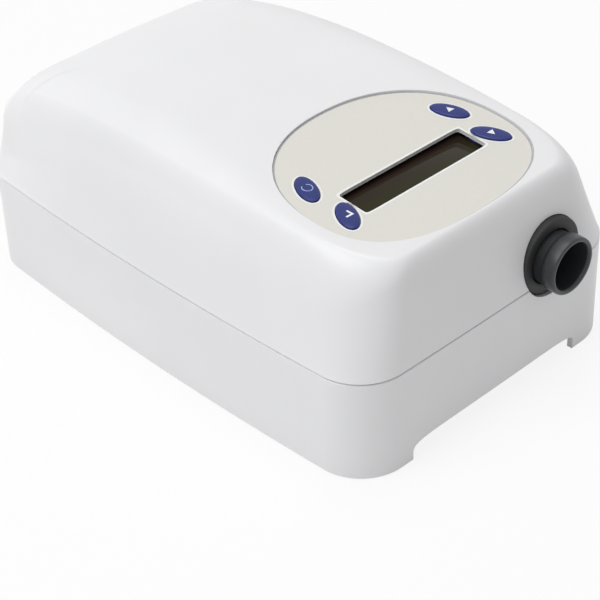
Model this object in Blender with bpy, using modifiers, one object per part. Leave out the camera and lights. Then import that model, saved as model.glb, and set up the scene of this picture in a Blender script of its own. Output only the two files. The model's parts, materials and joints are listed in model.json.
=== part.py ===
"""Bedside air machine: two moulded case halves round a blower, a key panel on top, an outlet at the front."""
import math

import bmesh
import bpy
from mathutils import Matrix, Vector

# Housing, all lengths in metres: X to the right seen from the front, the front faces -Y, Z up
case_width = 0.1410
case_length = 0.2130
parting_height = 0.0410
case_wall = 0.0024
roof_wall = 0.0030
parting_gap = 0.0004
corner_radius = 0.0225
tightest_corner = 0.0060
side_bow = 0.0028
end_bow = 0.0024
shoulder_height = 0.0812
shoulder_slope = math.radians(0.6)
wall_lean = 0.0050
end_lean = 0.0034
rear_lean = 0.0015
foot_lean = 0.0008
skirt_height = 0.0008
skirt_round = 0.0012
side_round = 0.0130
side_drop = 0.0130
front_round = 0.0070
front_drop = 0.0095
rear_round = 0.0440
rear_drop = 0.0360
rear_reach = 0.0260
crown_peak_y = 0.0450
crown_start_y = -0.0100
flat_half_width = 0.0470
floor_height = 0.0080
arch_half_width = 0.0430
arch_height = 0.0078
arch_round = 0.0075

# Fits and cuts
fit_gap = 0.0003
panel_fit = 0.0005
overrun = 0.0040
screw_play = 0.0003
merge_distance = 0.000002
smooth_limit = math.radians(35)

# Posts, screws and feet
post_inset = 0.0085
post_y = 0.0720
post_radius = 0.0042
upper_post_length = 0.0110
screw_radius = 0.0015
screw_head_radius = 0.0030
screw_head_height = 0.0020
head_seat = 0.0130
small_screw_radius = 0.0010
small_screw_head = 0.0020
small_screw_head_height = 0.0013
small_screw_reach = 0.0045
foot_inset = 0.0175
foot_radius = 0.0065
foot_taper = 0.0006
foot_seat = 0.0014
arch_reach = 0.0120
slot_count = 7
slot_pitch = 0.0070
slot_width = 0.0022
slot_length = 0.0300

# Panel: egg outline on a slope, its frame stands on the display's centre
panel_y = -0.0651
panel_height = 0.0810
panel_slope = math.radians(5.0)
panel_half_width = 0.0473
panel_rear_reach = 0.0455
panel_front_reach = 0.0308
panel_widest = 0.0030
panel_lip = 0.0008
overlay_thickness = 0.0005
display_half_width = 0.0302
display_half_depth = 0.0069
display_corner = 0.0012
glass_depth = 0.0027
glass_thickness = 0.0018
glass_side_margin = 0.0004
glass_end_margin = 0.0020
frame_wall = 0.0012
rear_squareness = 2.2
front_squareness = 2.6
board_top = 0.0075
board_thickness = 0.0016
board_half_width = 0.0490
board_front = -0.0160
board_rear = 0.0260
board_post_x = 0.0455
board_post_front = -0.0120
board_post_rear = 0.0220
board_post_radius = 0.0025
mat_thickness = 0.0012
mat_edge = 0.0030
dome_radius = 0.0030
dome_height = 0.0009

# Keys
key_long = 0.0074
key_short = 0.0037
key_rear_x = 0.0359
key_rear_s = 0.0159
key_front_x = 0.0362
key_front_s = -0.0037
key_rear_turn = math.radians(65.6)
key_front_turn = math.radians(61.0)
key_stand = 0.0009
key_crown = 0.0005
key_play = 0.0003
key_travel = 0.0008
key_skirt = 0.0007
key_skirt_side_share = 0.15
key_skirt_thickness = 0.0009
key_stem_radius = 0.0016
key_clear = 0.0002

# Outlet: a standard 22 mm conical spigot
outlet_x = 0.0287
outlet_z = 0.0487
outlet_radius = 0.0110
outlet_neck_radius = 0.0102
outlet_bore = 0.0090
outlet_lip_length = 0.0050
outlet_stand = 0.0083
outlet_opening = 0.0151
outlet_flange_radius = 0.0172
outlet_flange = 0.0020
outlet_ring_wall = 0.0030
outlet_tail = 0.0130
mouth_chamfer = 0.0012

# Blower
blower_x = -0.0060
blower_y = -0.0080
wheel_radius = 0.0290
volute_wall = 0.0018
volute_small_radius = 0.0330
volute_half_height = 0.0128
duct_half_width = 0.0090
duct_end_y = -0.0620
spigot_length = 0.0100
tongue_turn = math.radians(38.8)
sleeve_wall = 0.0015
sleeve_bulge = 0.0012
sleeve_gap = 0.0012
hub_radius = 0.0060
hub_wall = 0.0022
bearing_radius = 0.0058
bearing_height = 0.0030
bearing_bore = 0.0024
bearing_play = 0.0001
can_wall = 0.0012
stator_outer = 0.0190
stator_inner = 0.0118
stator_height = 0.0100
rotor_radius = 0.0112
ear_radius = 0.0048
ear_thickness = 0.0030
ear_angles = (math.radians(75), math.radians(175), math.radians(250))
mount_radius = 0.0040
mount_height = 0.0036
bonnet_radius = 0.0185
bonnet_height = 0.0190
bonnet_wall = 0.0016
hose_radius = 0.0094
hose_wall = 0.0010
spigot_outer = 0.0079
spigot_wall = 0.0014
eye_radius = 0.0150
motor_radius = 0.0210
motor_height = 0.0200
motor_floor_gap = 0.0035
shaft_radius = 0.0020
blade_count = 11
blade_thickness = 0.0010
blade_height = 0.0150

# Rear and supply
rear_item_z = 0.0380
rear_corner = 0.0020
socket_x = -0.0420
socket_width = 0.0270
socket_height = 0.0200
socket_depth = 0.0220
socket_wall = 0.0018
pin_width = 0.0040
pin_thickness = 0.0020
pin_spacing = 0.0070
pin_reach = 0.0120
switch_x = -0.0130
switch_width = 0.0150
switch_height = 0.0210
switch_depth = 0.0200
switch_wall = 0.0014
rocker_tilt = math.radians(8.0)
filter_x = 0.0240
filter_width = 0.0360
filter_height = 0.0300
cover_thickness = 0.0024
cover_rim = 0.0040
louvre_count = 5
louvre_height = 0.0022
foam_thickness = 0.0060
box_wall = 0.0016
box_front_y = 0.0620
box_step_y = 0.0830
box_top_y = 0.0780
box_top_z = 0.0795
box_spigot_x = 0.0240
box_spigot_length = 0.0080
bonnet_spigot_length = 0.0090
main_board_x = -0.0240
main_board_y = 0.0700
main_board_width = 0.0620
main_board_length = 0.0500
main_board_z = 0.0158
board_corner_inset = 0.0035

ribbon_x = -0.0400
ribbon_width = 0.0140
ribbon_thickness = 0.0005
ribbon_bend = 0.0060
ribbon_inset = 0.0040
connector_side = 0.0050
connector_height = 0.0060
coil_inset = 0.0050
coil_setback = 0.0130
coil_width = 0.0260
coil_length = 0.0200
coil_height = 0.0190
can_gap = 0.0020
capacitor_radius = 0.0055
capacitor_height = 0.0160
sink_width = 0.0150
sink_length = 0.0160
sink_height = 0.0085
sink_setback = 0.0100
fin_count = 5
fin_foot = 0.0020
sensor_x = 0.0015
sensor_y = 0.0620
sensor_side = 0.0080
sensor_height = 0.0060
tube_radius = 0.0015
tube_bend = 0.0060
tube_lead = 0.0010
tube_side_gap = 0.0180
nipple_setback = 0.0022
nipple_length = 0.0035
rear_sink = 0.0004
box_setback = 0.0085
foam_space = 0.0020
prong_thickness = 0.0012
prong_width = 0.0060
prong_length = 0.0070
hose_grip_gap = 0.0030
hose_lead = 0.0060
rocker_setback = 0.0036
pocket_depth = 0.0085
rocker_pin = 0.0012
rocker_crest = 0.0042
rocker_saddle = 0.0032
rocker_keel = 0.0030
rocker_tip_share = 0.90
case_screw_reach = 0.0070

# Blower details
wall_slack = 0.0020
sleeve_folds = 3
sleeve_grip = 0.0075
hub_height = 0.0054
bearing_cap = 0.0008
wheel_clearance = 0.0015
plate_thickness = 0.0012
hub_length = 0.0140
hub_tip_share = 0.75
blade_sweep = math.radians(-52)
blade_curl = 1.15
pole_count = 6
pole_share = 0.30
stator_slot = 0.0168
stator_sides = 36
mount_peg_reach = 0.0050
mount_head_radius = 0.0026
mount_head_height = 0.0018

# Steps round curved forms
corner_steps = 6
side_steps = 6
end_steps = 5
shoulder_steps = 6
inner_ring_shares = (0.86, 0.68, 0.45, 0.20)
egg_steps = 48
key_steps = 24
arch_steps = 6
screw_sides = 10
scroll_steps = 22
blade_steps = 6
hose_steps = 9
tube_steps = 4


def half_width():
    return case_width / 2


def half_length():
    return case_length / 2


def front_face_y():
    """Where the bowed front face stands beside the outlet."""
    return -half_length() + end_bow * (outlet_x / (half_width() - corner_radius)) ** 2


def tip_reach():
    """How far the outlet's tip stands in front of the machine's middle."""
    return -front_face_y() + outlet_stand


def flange_front():
    return front_face_y() + case_wall + wall_slack


def mat_low():
    return fit_gap - board_top


def dome_top():
    """Height of the rubber domes under the keys in the panel's frame."""
    return mat_low() + mat_thickness + dome_height


def recess_depth():
    return overlay_thickness + fit_gap


def skirt_low():
    """Under side of a key's skirt, which rests just under the roof."""
    return panel_lip - roof_wall - fit_gap - key_skirt_thickness


def volute_low():
    return outlet_z - volute_half_height


def volute_high():
    return outlet_z + volute_half_height


def mount_low():
    return volute_low() - fit_gap - mount_height


def ribbon_end_y():
    return main_board_y - main_board_length / 2 + ribbon_inset


def panel_point(s, n):
    """Y and Z of a point on the panel's slope: s along it to the rear, n out of it."""
    return (panel_y + s * math.cos(panel_slope) - n * math.sin(panel_slope),
            panel_height + s * math.sin(panel_slope) + n * math.cos(panel_slope))


def clear_scene():
    for old in list(bpy.data.objects):
        bpy.data.objects.remove(old, do_unlink=True)


def new_collection(name):
    group = bpy.data.collections.new(name)
    bpy.context.scene.collection.children.link(group)
    return group


clear_scene()
parts = new_collection("cpap_machine")
cutters = new_collection("cutters")
machine = bpy.data.objects.new("machine", None)
machine.location = (0, (tip_reach() - half_length()) / 2, 0)
parts.objects.link(machine)
panel_frame = bpy.data.objects.new("panel_frame", None)
panel_frame.parent = machine
panel_frame.location = (0, panel_y, panel_height)
panel_frame.rotation_euler = (panel_slope, 0, 0)
parts.objects.link(panel_frame)


def make_material(name, colour, roughness, metallic=0.0):
    surface = bpy.data.materials.new(name)
    surface.use_nodes = True
    shader = surface.node_tree.nodes["Principled BSDF"]
    shader.inputs["Base Color"].default_value = (*colour, 1.0)
    shader.inputs["Roughness"].default_value = roughness
    shader.inputs["Metallic"].default_value = metallic
    return surface


case_white = make_material("case_white", (0.83, 0.83, 0.84), 0.38)
panel_grey = make_material("panel_grey", (0.70, 0.74, 0.68), 0.45)
key_blue = make_material("key_blue", (0.030, 0.050, 0.220), 0.35)
glass_dark = make_material("glass_dark", (0.030, 0.028, 0.022), 0.12)
port_grey = make_material("port_grey", (0.030, 0.033, 0.036), 0.45)
ring_black = make_material("ring_black", (0.012, 0.012, 0.012), 0.60)
rubber_black = make_material("rubber_black", (0.020, 0.020, 0.021), 0.80)
foam_grey = make_material("foam_grey", (0.16, 0.16, 0.17), 0.95)
steel = make_material("steel", (0.60, 0.60, 0.61), 0.30, 1.0)
copper_wound = make_material("copper_wound", (0.62, 0.28, 0.12), 0.40, 1.0)
aluminium = make_material("aluminium", (0.75, 0.76, 0.77), 0.40, 1.0)
board_green = make_material("board_green", (0.020, 0.160, 0.060), 0.45)
chip_black = make_material("chip_black", (0.018, 0.018, 0.020), 0.55)
inner_plastic = make_material("inner_plastic", (0.10, 0.11, 0.12), 0.50)
wheel_white = make_material("wheel_white", (0.72, 0.73, 0.74), 0.40)
cream_plastic = make_material("cream_plastic", (0.74, 0.70, 0.58), 0.50)
ribbon_white = make_material("ribbon_white", (0.78, 0.78, 0.74), 0.45)
tube_clear = make_material("tube_clear", (0.66, 0.70, 0.72), 0.30)


def add_object(name, mesh, surface, place=(0, 0, 0), parent=machine, turn=(0, 0, 0)):
    piece = bpy.data.objects.new(name, mesh)
    piece.parent = parent
    piece.location = place
    piece.rotation_euler = turn
    if surface is None:
        cutters.objects.link(piece)
        piece.display_type = "WIRE"
        piece.hide_render = True
    else:
        parts.objects.link(piece)
        mesh.materials.append(surface)
    return piece


def finish_mesh(bm, name, smooth_angle=None):
    bmesh.ops.recalc_face_normals(bm, faces=bm.faces)
    mesh = bpy.data.meshes.new(name)
    bm.to_mesh(mesh)
    bm.free()
    if smooth_angle is not None:
        mesh.shade_smooth()
        mesh.set_sharp_from_angle(angle=smooth_angle)
    return mesh


def add_block(bm, size, place=(0, 0, 0)):
    """A box of the given size, centred on its place."""
    scale = Matrix.Diagonal((*size, 1))
    bmesh.ops.create_cube(bm, size=1, matrix=Matrix.Translation(place) @ scale)


AXIS_TURNS = {
    "X": Matrix.Rotation(math.pi / 2, 4, "Y"),
    "Y": Matrix.Rotation(-math.pi / 2, 4, "X"),
    "Z": Matrix.Identity(4),
}


def add_rod(bm, radius, length, place=(0, 0, 0), axis="Z", sides=24, end_radius=None):
    """A cylinder or cone centred on its place; end_radius is the far end's along the axis."""
    top = radius if end_radius is None else end_radius
    matrix = Matrix.Translation(place) @ AXIS_TURNS[axis]
    bmesh.ops.create_cone(bm, cap_ends=True, segments=sides, radius1=radius, radius2=top, depth=length,
                          matrix=matrix)


def block(name, size, place, surface, parent=machine, edge=0):
    bm = bmesh.new()
    add_block(bm, size)
    piece = add_object(name, finish_mesh(bm, name), surface, place, parent)
    if edge:
        soften(piece, edge)
    return piece


def rod(name, radius, length, place, surface, parent=machine, axis="Z", sides=24):
    bm = bmesh.new()
    add_rod(bm, radius, length, (0, 0, 0), axis, sides)
    return add_object(name, finish_mesh(bm, name, smooth_limit), surface, place, parent)


def soften(piece, width, steps=1):
    bevel = piece.modifiers.new("edges", "BEVEL")
    bevel.width = width
    bevel.segments = steps
    bevel.limit_method = "ANGLE"
    bevel.angle_limit = smooth_limit


def combine(piece, other, operation):
    boolean = piece.modifiers.new(operation.lower() + "_" + other.name, "BOOLEAN")
    boolean.operation = operation
    boolean.object = other
    return boolean


def cut(piece, *others):
    for other in others:
        combine(piece, other, "DIFFERENCE")


def join(piece, *others):
    for other in others:
        combine(piece, other, "UNION")


def add_prism(bm, outline, low, high, axis="Z"):
    """A flat outline given a thickness from low to high along an axis."""
    turn = {"Z": lambda u, v, w: (u, v, w), "Y": lambda u, v, w: (u, w, v), "X": lambda u, v, w: (w, u, v)}[axis]
    corners = [bm.verts.new(turn(u, v, low)) for u, v in outline]
    face = bm.faces.new(corners)
    grown = bmesh.ops.extrude_face_region(bm, geom=[face])
    lifted = [item for item in grown["geom"] if isinstance(item, bmesh.types.BMVert)]
    bmesh.ops.translate(bm, vec=turn(0, 0, high - low), verts=lifted)


def prism(name, outline, low, high, surface, place=(0, 0, 0), parent=machine, axis="Z", smooth=None):
    bm = bmesh.new()
    add_prism(bm, outline, low, high, axis)
    return add_object(name, finish_mesh(bm, name, smooth), surface, place, parent)


def turned(name, profile, surface, place, axis="Z", steps=32, parent=machine):
    """A profile of (radius, height) points turned about an axis; one that ends on the axis stays open there."""
    bm = bmesh.new()
    corners = [bm.verts.new((radius, 0, height)) for radius, height in profile]
    after = corners[1:] if profile[0][0] == 0 else corners[1:] + corners[:1]
    for first, second in zip(corners, after):
        bm.edges.new((first, second))
    mesh = bpy.data.meshes.new(name)
    bm.to_mesh(mesh)
    bm.free()
    piece = add_object(name, mesh, surface, place, parent, AXIS_TURNS[axis].to_euler())
    screw = piece.modifiers.new("turn", "SCREW")
    screw.steps = steps
    screw.render_steps = steps
    screw.use_merge_vertices = True
    screw.merge_threshold = merge_distance
    screw.use_smooth_shade = True
    return piece


def ring_profile(inner, outer, low, high):
    return [(outer, high), (outer, low), (inner, low), (inner, high)]


def oval(long_half, short_half, steps, turn=0):
    points = []
    for step in range(steps):
        angle = 2 * math.pi * step / steps
        u = long_half * math.cos(angle)
        v = short_half * math.sin(angle)
        points.append((u * math.cos(turn) - v * math.sin(turn), u * math.sin(turn) + v * math.cos(turn)))
    return points


def rounded_box(half_u, half_v, radius, steps):
    """A rectangle with round corners, centred on zero."""
    points = []
    for quarter in range(4):
        side_u = 1 if quarter in (0, 3) else -1
        side_v = 1 if quarter in (0, 1) else -1
        for step in range(steps + 1):
            angle = math.pi / 2 * (quarter + step / steps)
            points.append((side_u * (half_u - radius) + radius * math.cos(angle),
                           side_v * (half_v - radius) + radius * math.sin(angle)))
    return points


def egg(grow, steps):
    """The panel's outline: one half-oval to the rear and a squarer, shorter one to the front."""
    points = []
    half_w = panel_half_width + grow
    for step in range(steps):
        angle = 2 * math.pi * step / steps
        rear = math.sin(angle) >= 0
        reach = (panel_rear_reach - panel_widest if rear else panel_front_reach + panel_widest) + grow
        power = 2 / (rear_squareness if rear else front_squareness)
        u = half_w * math.copysign(abs(math.cos(angle)) ** power, math.cos(angle))
        v = reach * math.copysign(abs(math.sin(angle)) ** power, math.sin(angle))
        points.append((u, panel_widest + v))
    return points


# Housing: the plan at any inset, the roof over it, and rings of both halves


def plan_stations():
    """Places round the plan: a share along each straight side, then the turn of the corner after it."""
    places = []
    for quarter in range(4):
        steps = end_steps if quarter % 2 else side_steps
        for step in range(1, steps):
            places.append((quarter, 2 * step / steps - 1, None))
        for step in range(corner_steps + 1):
            places.append((quarter, 1, step / corner_steps))
    return places


def plan_point(station, inset):
    quarter, share, turn = station
    radius = max(corner_radius - inset, tightest_corner)
    centre_x = half_width() - side_bow - inset - radius
    centre_y = half_length() - end_bow - inset - radius
    if turn is None:
        side = 1 if quarter < 2 else -1
        if quarter % 2 == 0:
            return (side * (half_width() - inset - side_bow * share ** 2), side * centre_y * share)
        return (-side * centre_x * share, side * (half_length() - inset - end_bow * share ** 2))
    angle = math.pi / 2 * (quarter + turn)
    side_x = 1 if quarter in (0, 3) else -1
    side_y = 1 if quarter in (0, 1) else -1
    return (side_x * centre_x + radius * math.cos(angle), side_y * centre_y + radius * math.sin(angle))


def plan_facing(station):
    """How much a place faces the side, the front and the rear; the three add up to one."""
    quarter, share, turn = station
    angle = math.pi / 2 * (quarter + (turn or 0))
    side = math.cos(angle) ** 2
    end = math.sin(angle) ** 2
    return (side, 0, end) if math.sin(angle) > 0 else (side, end, 0)


def mixed(station, side_value, front_value, rear_value):
    side, front, rear = plan_facing(station)
    return side * side_value + front * front_value + rear * rear_value


def ridge_height(y):
    rise = math.tan(panel_slope)
    past = max(y - crown_start_y, 0)
    fall = rise / (2 * (crown_peak_y - crown_start_y))
    return panel_height + panel_lip + rise * (y - panel_y) - fall * past ** 2


def rear_fall(x, y):
    """How far the roof has dropped along its quarter-oval towards the bowed rear wall."""
    bow = end_bow * (x / (half_width() - corner_radius)) ** 2
    depth = half_length() - rear_lean - bow - y
    share = min(max(1 - depth / rear_round, 0), 1)
    return rear_drop * (1 - math.sqrt(1 - share ** 2))


def roof_height(x, y):
    ridge = ridge_height(y)
    shoulder = shoulder_height + math.tan(shoulder_slope) * y
    past = max(abs(x) - flat_half_width, 0) / (half_width() - wall_lean - flat_half_width)
    return ridge + (shoulder - ridge) * min(past, 1) ** 2 - rear_fall(x, y)


def upper_rings():
    """Rings of the upper half, from the parting plane up the wall, round the shoulder and over the roof."""
    base = parting_height - overrun
    rings = [[(*plan_point(place, 0), base) for place in plan_stations()]]
    rings.append([(*plan_point(place, 0), parting_height) for place in plan_stations()])
    for step in range(shoulder_steps + 1):
        angle = math.pi / 2 * step / shoulder_steps
        ring = []
        for place in plan_stations():
            lean = mixed(place, wall_lean, end_lean, rear_lean)
            across = mixed(place, side_round, front_round, rear_reach)
            drop = mixed(place, side_drop, front_drop, 0)
            x, y = plan_point(place, lean + across * (1 - math.cos(angle)))
            ring.append((x, y, roof_height(x, y) - drop * (1 - math.sin(angle))))
        rings.append(ring)
    last = rings[-1]
    for share in inner_ring_shares:
        rings.append([(x * share, y * share, roof_height(x * share, y * share)) for x, y, z in last])
    return rings


def lower_rings():
    """Rings of the lower half's wall, from the parting plane down to the rounded rim of the skirt."""
    rim = skirt_height + skirt_round
    levels = ((parting_height + overrun, 0), (parting_height, 0), (rim, foot_lean),
              (skirt_height, foot_lean + skirt_round))
    return [[(*plan_point(place, inset), z) for place in plan_stations()] for z, inset in levels]


def loft(bm, rings):
    """Bands of faces between rings of as many points each."""
    rows = [[bm.verts.new(point) for point in ring] for ring in rings]
    for low, high in zip(rows, rows[1:]):
        count = len(low)
        for step in range(count):
            after = (step + 1) % count
            bm.faces.new((low[step], low[after], high[after], high[step]))
    return rows


def close_roof(bm, row, centre):
    """Closes the last ring with a fan round a centre point on the roof."""
    cap = bm.faces.new(row)
    fan = bmesh.ops.poke(bm, faces=[cap])
    fan["verts"][0].co = centre


def thicken(piece, thickness):
    shell = piece.modifiers.new("wall", "SOLIDIFY")
    shell.thickness = thickness
    shell.offset = -1
    shell.use_even_offset = True


def plan_slab(name, inset, low, high, surface):
    outline = [plan_point(place, inset) for place in plan_stations()]
    return prism(name, outline, low, high, surface)


def post_places():
    x = half_width() - post_inset
    return [(side_x * x, side_y * post_y) for side_x in (-1, 1) for side_y in (-1, 1)]


def foot_places():
    x = half_width() - side_bow - foot_inset
    y = half_length() - end_bow - foot_inset
    return [(side_x * x, side_y * y) for side_x in (-1, 1) for side_y in (-1, 1)]


def rods(name, places, radius, low, high, surface=None, sides=12):
    """Upright rods of one size at several places, one object."""
    bm = bmesh.new()
    for x, y in places:
        add_rod(bm, radius, high - low, (x, y, (low + high) / 2), sides=sides)
    return add_object(name, finish_mesh(bm, name, smooth_limit), surface)


def panel_rods(name, places, radius, low, high, surface=None, sides=12):
    """The same in the panel's sloping frame."""
    bm = bmesh.new()
    for x, s in places:
        add_rod(bm, radius, high - low, (x, s, (low + high) / 2), sides=sides)
    return add_object(name, finish_mesh(bm, name, smooth_limit), surface, (0, 0, 0), panel_frame)


def key_places():
    """Name, place along the panel and turn of each key."""
    return (("key_power", -key_rear_x, key_rear_s, key_rear_turn),
            ("key_enter", -key_front_x, key_front_s, key_front_turn),
            ("key_up", key_rear_x, key_rear_s, -key_rear_turn),
            ("key_down", key_front_x, key_front_s, -key_front_turn))


def board_places():
    """Posts at two opposite corners of the key board."""
    return [(-board_post_x, board_post_rear), (board_post_x, board_post_front)]


def arch_outline():
    """Front arch: straight legs with a round at each upper corner."""
    points = [(-arch_half_width, -overrun)]
    for side in (-1, 1):
        for step in range(arch_steps + 1):
            angle = math.pi / 2 * step / arch_steps
            if side > 0:
                angle = math.pi / 2 - angle
            points.append((side * (arch_half_width - arch_round + arch_round * math.cos(angle)),
                           arch_height - arch_round + arch_round * math.sin(angle)))
    points.append((arch_half_width, -overrun))
    return points


def make_case_cutters():
    """Openings that go through both halves."""
    front = -half_length()
    rear = half_length()
    made = [rod("outlet_cut", outlet_opening, 2 * (case_wall + 2 * overrun),
                (outlet_x, front + case_wall, outlet_z), None, axis="Y", sides=32)]
    seat_low = flange_front() - fit_gap
    seat_high = flange_front() + outlet_flange + overrun
    made.append(rod("outlet_seat", outlet_flange_radius + panel_fit, seat_high - seat_low,
                    (outlet_x, (seat_high + seat_low) / 2, outlet_z), None, axis="Y", sides=32))
    deep = case_wall + 2 * overrun
    for name, x, width, height in (("socket_cut", socket_x, socket_width, socket_height),
                                   ("switch_cut", switch_x, switch_width, switch_height),
                                   ("filter_cut", filter_x, filter_width, filter_height)):
        outline = rounded_box(width / 2 + panel_fit, height / 2 + panel_fit, rear_corner, 3)
        made.append(prism(name, outline, rear - deep, rear + overrun, None, (x, 0, rear_item_z), axis="Y"))
    return made


def make_upper_case(shared_cuts):
    bm = bmesh.new()
    rows = loft(bm, upper_rings())
    close_roof(bm, rows[-1], (0, 0, roof_height(0, 0)))
    case = add_object("upper_case", finish_mesh(bm, "upper_case", smooth_limit), case_white)
    thicken(case, roof_wall)
    below = block("under_parting", (2 * case_width, 2 * case_length, parting_height),
                  (0, 0, (parting_height + parting_gap) / 2), None)
    cut(case, below)
    start = parting_height + parting_gap / 2
    posts = rods("upper_posts", post_places(), post_radius, start, start + upper_post_length)
    bores = rods("upper_post_bores", post_places(), screw_radius + screw_play, start - overrun,
                 start + upper_post_length - case_wall)
    board_posts = panel_rods("board_posts", board_places(), board_post_radius, fit_gap - board_top,
                             panel_lip - roof_wall / 2)
    board_bores = panel_rods("board_post_bores", board_places(), small_screw_radius + screw_play,
                             -board_top - overrun, -board_top + small_screw_reach)
    join(case, posts, board_posts)
    cut(case, bores, board_bores)
    recess = prism("panel_recess", egg(fit_gap, egg_steps), -recess_depth(), overrun, None, parent=panel_frame)
    cut(case, recess)
    window = prism("window_cut", rounded_box(display_half_width, display_half_depth, display_corner, 2),
                   -recess_depth() - roof_wall, overrun, None, parent=panel_frame)
    cut(case, window)
    for name, x, s, turn in key_places():
        hole = prism(name + "_cut", oval(key_long + key_play, key_short + key_play, key_steps, turn),
                     -recess_depth() - roof_wall, overrun, None, (x, s, 0), panel_frame)
        cut(case, hole)
    cut(case, *shared_cuts)
    return case


def make_lower_case(shared_cuts):
    bm = bmesh.new()
    loft(bm, lower_rings()[::-1])
    case = add_object("lower_case", finish_mesh(bm, "lower_case", smooth_limit), case_white)
    thicken(case, case_wall)
    above = block("over_parting", (2 * case_width, 2 * case_length, parting_height),
                  (0, 0, parting_height * 3 / 2 - parting_gap / 2), None)
    cut(case, above)
    floor = plan_slab("floor_slab", case_wall / 2 + foot_lean, floor_height, floor_height + case_wall, None)
    end = parting_height - parting_gap / 2
    posts = rods("lower_posts", post_places(), post_radius, floor_height, end)
    foot_bosses = rods("foot_bosses", foot_places(), foot_radius + case_wall / 2, foot_seat,
                       floor_height + case_wall / 2)
    mounts = rods("blower_posts", ear_places(), mount_radius, floor_height + case_wall / 2, mount_low() - fit_gap)
    boards = rods("main_board_posts", main_board_places(), board_post_radius, floor_height + case_wall / 2,
                  main_board_z - fit_gap, sides=12)
    stands = rods("box_stands", box_stand_places(), board_post_radius, floor_height + case_wall / 2,
                  rear_item_z - filter_height / 2 - fit_gap, sides=12)
    join(case, floor, posts, foot_bosses, mounts, boards, stands)
    mount_bores = rods("mount_bores", ear_places(), screw_radius + screw_play,
                       mount_low() - mount_peg_reach - fit_gap, mount_low() + overrun)
    bores = rods("lower_post_bores", post_places(), screw_radius + screw_play, 0, end + overrun)
    heads = rods("screw_head_cuts", post_places(), screw_head_radius + screw_play, 0, head_seat)
    board_bores = rods("main_board_bores", main_board_places(), small_screw_radius + screw_play,
                       main_board_z - small_screw_reach, main_board_z + overrun, sides=12)
    arch = prism("arch_cut", arch_outline(), -half_length() - overrun, -half_length() + arch_reach, None, axis="Y")
    cut(case, bores, heads, board_bores, mount_bores, arch)
    slots = make_floor_slots()
    cut(case, slots)
    cut(case, *shared_cuts)
    return case


def make_floor_slots():
    """A row of air slots through the floor under the supply board."""
    bm = bmesh.new()
    for step in range(slot_count):
        x = main_board_x + (step - (slot_count - 1) / 2) * slot_pitch
        add_block(bm, (slot_width, slot_length, 2 * case_wall + overrun), (x, main_board_y, floor_height))
    return add_object("floor_slots", finish_mesh(bm, "floor_slots"), None)


def make_feet():
    """Four tapered rubber feet under the corner bosses."""
    for number, (x, y) in enumerate(foot_places(), 1):
        bm = bmesh.new()
        add_rod(bm, foot_radius - foot_taper, foot_seat - fit_gap, (0, 0, (foot_seat - fit_gap) / 2),
                end_radius=foot_radius)
        name = f"rubber_foot_{number}"
        add_object(name, finish_mesh(bm, name, smooth_limit), rubber_black, (x, y, 0))


def screws(name, places, head_seat_z, head_radius, head_height, shank_radius, shank_length, parent, way):
    """Pan-head screws, numbered; the head stands against its seat and the shank runs up (1) or down (-1)."""
    for number, (x, y) in enumerate(places, 1):
        profile = [(0, -way * head_height), (head_radius, -way * head_height), (head_radius, 0),
                   (shank_radius, 0), (shank_radius, way * shank_length), (0, way * shank_length)]
        turned(f"{name}_{number}", profile[::-way], steel, (x, y, head_seat_z), "Z", screw_sides, parent)


# Panel, keys and display


def make_panel():
    overlay = prism("panel_overlay", egg(0, egg_steps), fit_gap - recess_depth(),
                    fit_gap - recess_depth() + overlay_thickness, panel_grey, parent=panel_frame)
    window = prism("overlay_window", rounded_box(display_half_width, display_half_depth, display_corner, 2),
                   -recess_depth() - overrun, overrun, None, parent=panel_frame)
    cut(overlay, window)
    for name, x, s, turn in key_places():
        hole = prism(name + "_overlay_cut", oval(key_long + key_play, key_short + key_play, key_steps, turn),
                     -recess_depth() - overrun, overrun, None, (x, s, 0), panel_frame)
        cut(overlay, hole)
    return overlay


def make_keys():
    """Each key: a crowned oval cap, end lugs that stop it under the roof, and a stem to its switch."""
    skirt_high = skirt_low() + key_skirt_thickness
    levels = ((skirt_low(), key_skirt, key_skirt * key_skirt_side_share),
              (skirt_high, key_skirt, key_skirt * key_skirt_side_share), (skirt_high, 0, 0),
              (key_stand - key_crown, 0, 0), (key_stand, -key_crown * 2, -key_crown * 2))
    stem_low = dome_top() + key_travel + key_clear
    stem_high = skirt_low() + overlay_thickness
    for name, x, s, turn in key_places():
        bm = bmesh.new()
        rings = [[(u, v, z) for u, v in oval(key_long + long_grow, key_short + short_grow, key_steps, turn)]
                 for z, long_grow, short_grow in levels]
        rows = loft(bm, rings)
        bm.faces.new(rows[0][::-1])
        bm.faces.new(rows[-1])
        key = add_object(name, finish_mesh(bm, name, smooth_limit), key_blue, (x, s, 0), panel_frame)
        stem = rod(name + "_stem", key_stem_radius, stem_high - stem_low, (x, s, (stem_high + stem_low) / 2),
                   None, panel_frame, sides=12)
        join(key, stem)


def make_display():
    """Display glass in a pressed frame, over its light block, on the key board."""
    half_u = display_half_width + glass_side_margin
    half_v = display_half_depth + glass_end_margin
    low = fit_gap - board_top
    block("lcd_glass", (2 * half_u, 2 * half_v, glass_thickness), (0, 0, -glass_depth - glass_thickness / 2),
          glass_dark, panel_frame)
    frame_top = -glass_depth - glass_thickness
    light_top = frame_top - fit_gap
    block("lcd_backlight", (2 * half_u, 2 * half_v, light_top - low), (0, 0, (light_top + low) / 2),
          cream_plastic, panel_frame)
    outer_u = half_u + fit_gap + frame_wall
    outer_v = half_v + fit_gap + frame_wall
    frame = block("lcd_frame", (2 * outer_u, 2 * outer_v, frame_top - low), (0, 0, (frame_top + low) / 2),
                  steel, panel_frame)
    pocket = block("frame_pocket", (2 * (half_u + fit_gap), 2 * (half_v + fit_gap), board_top),
                   (0, 0, (frame_top + low) / 2), None, panel_frame)
    cut(frame, pocket)


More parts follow.
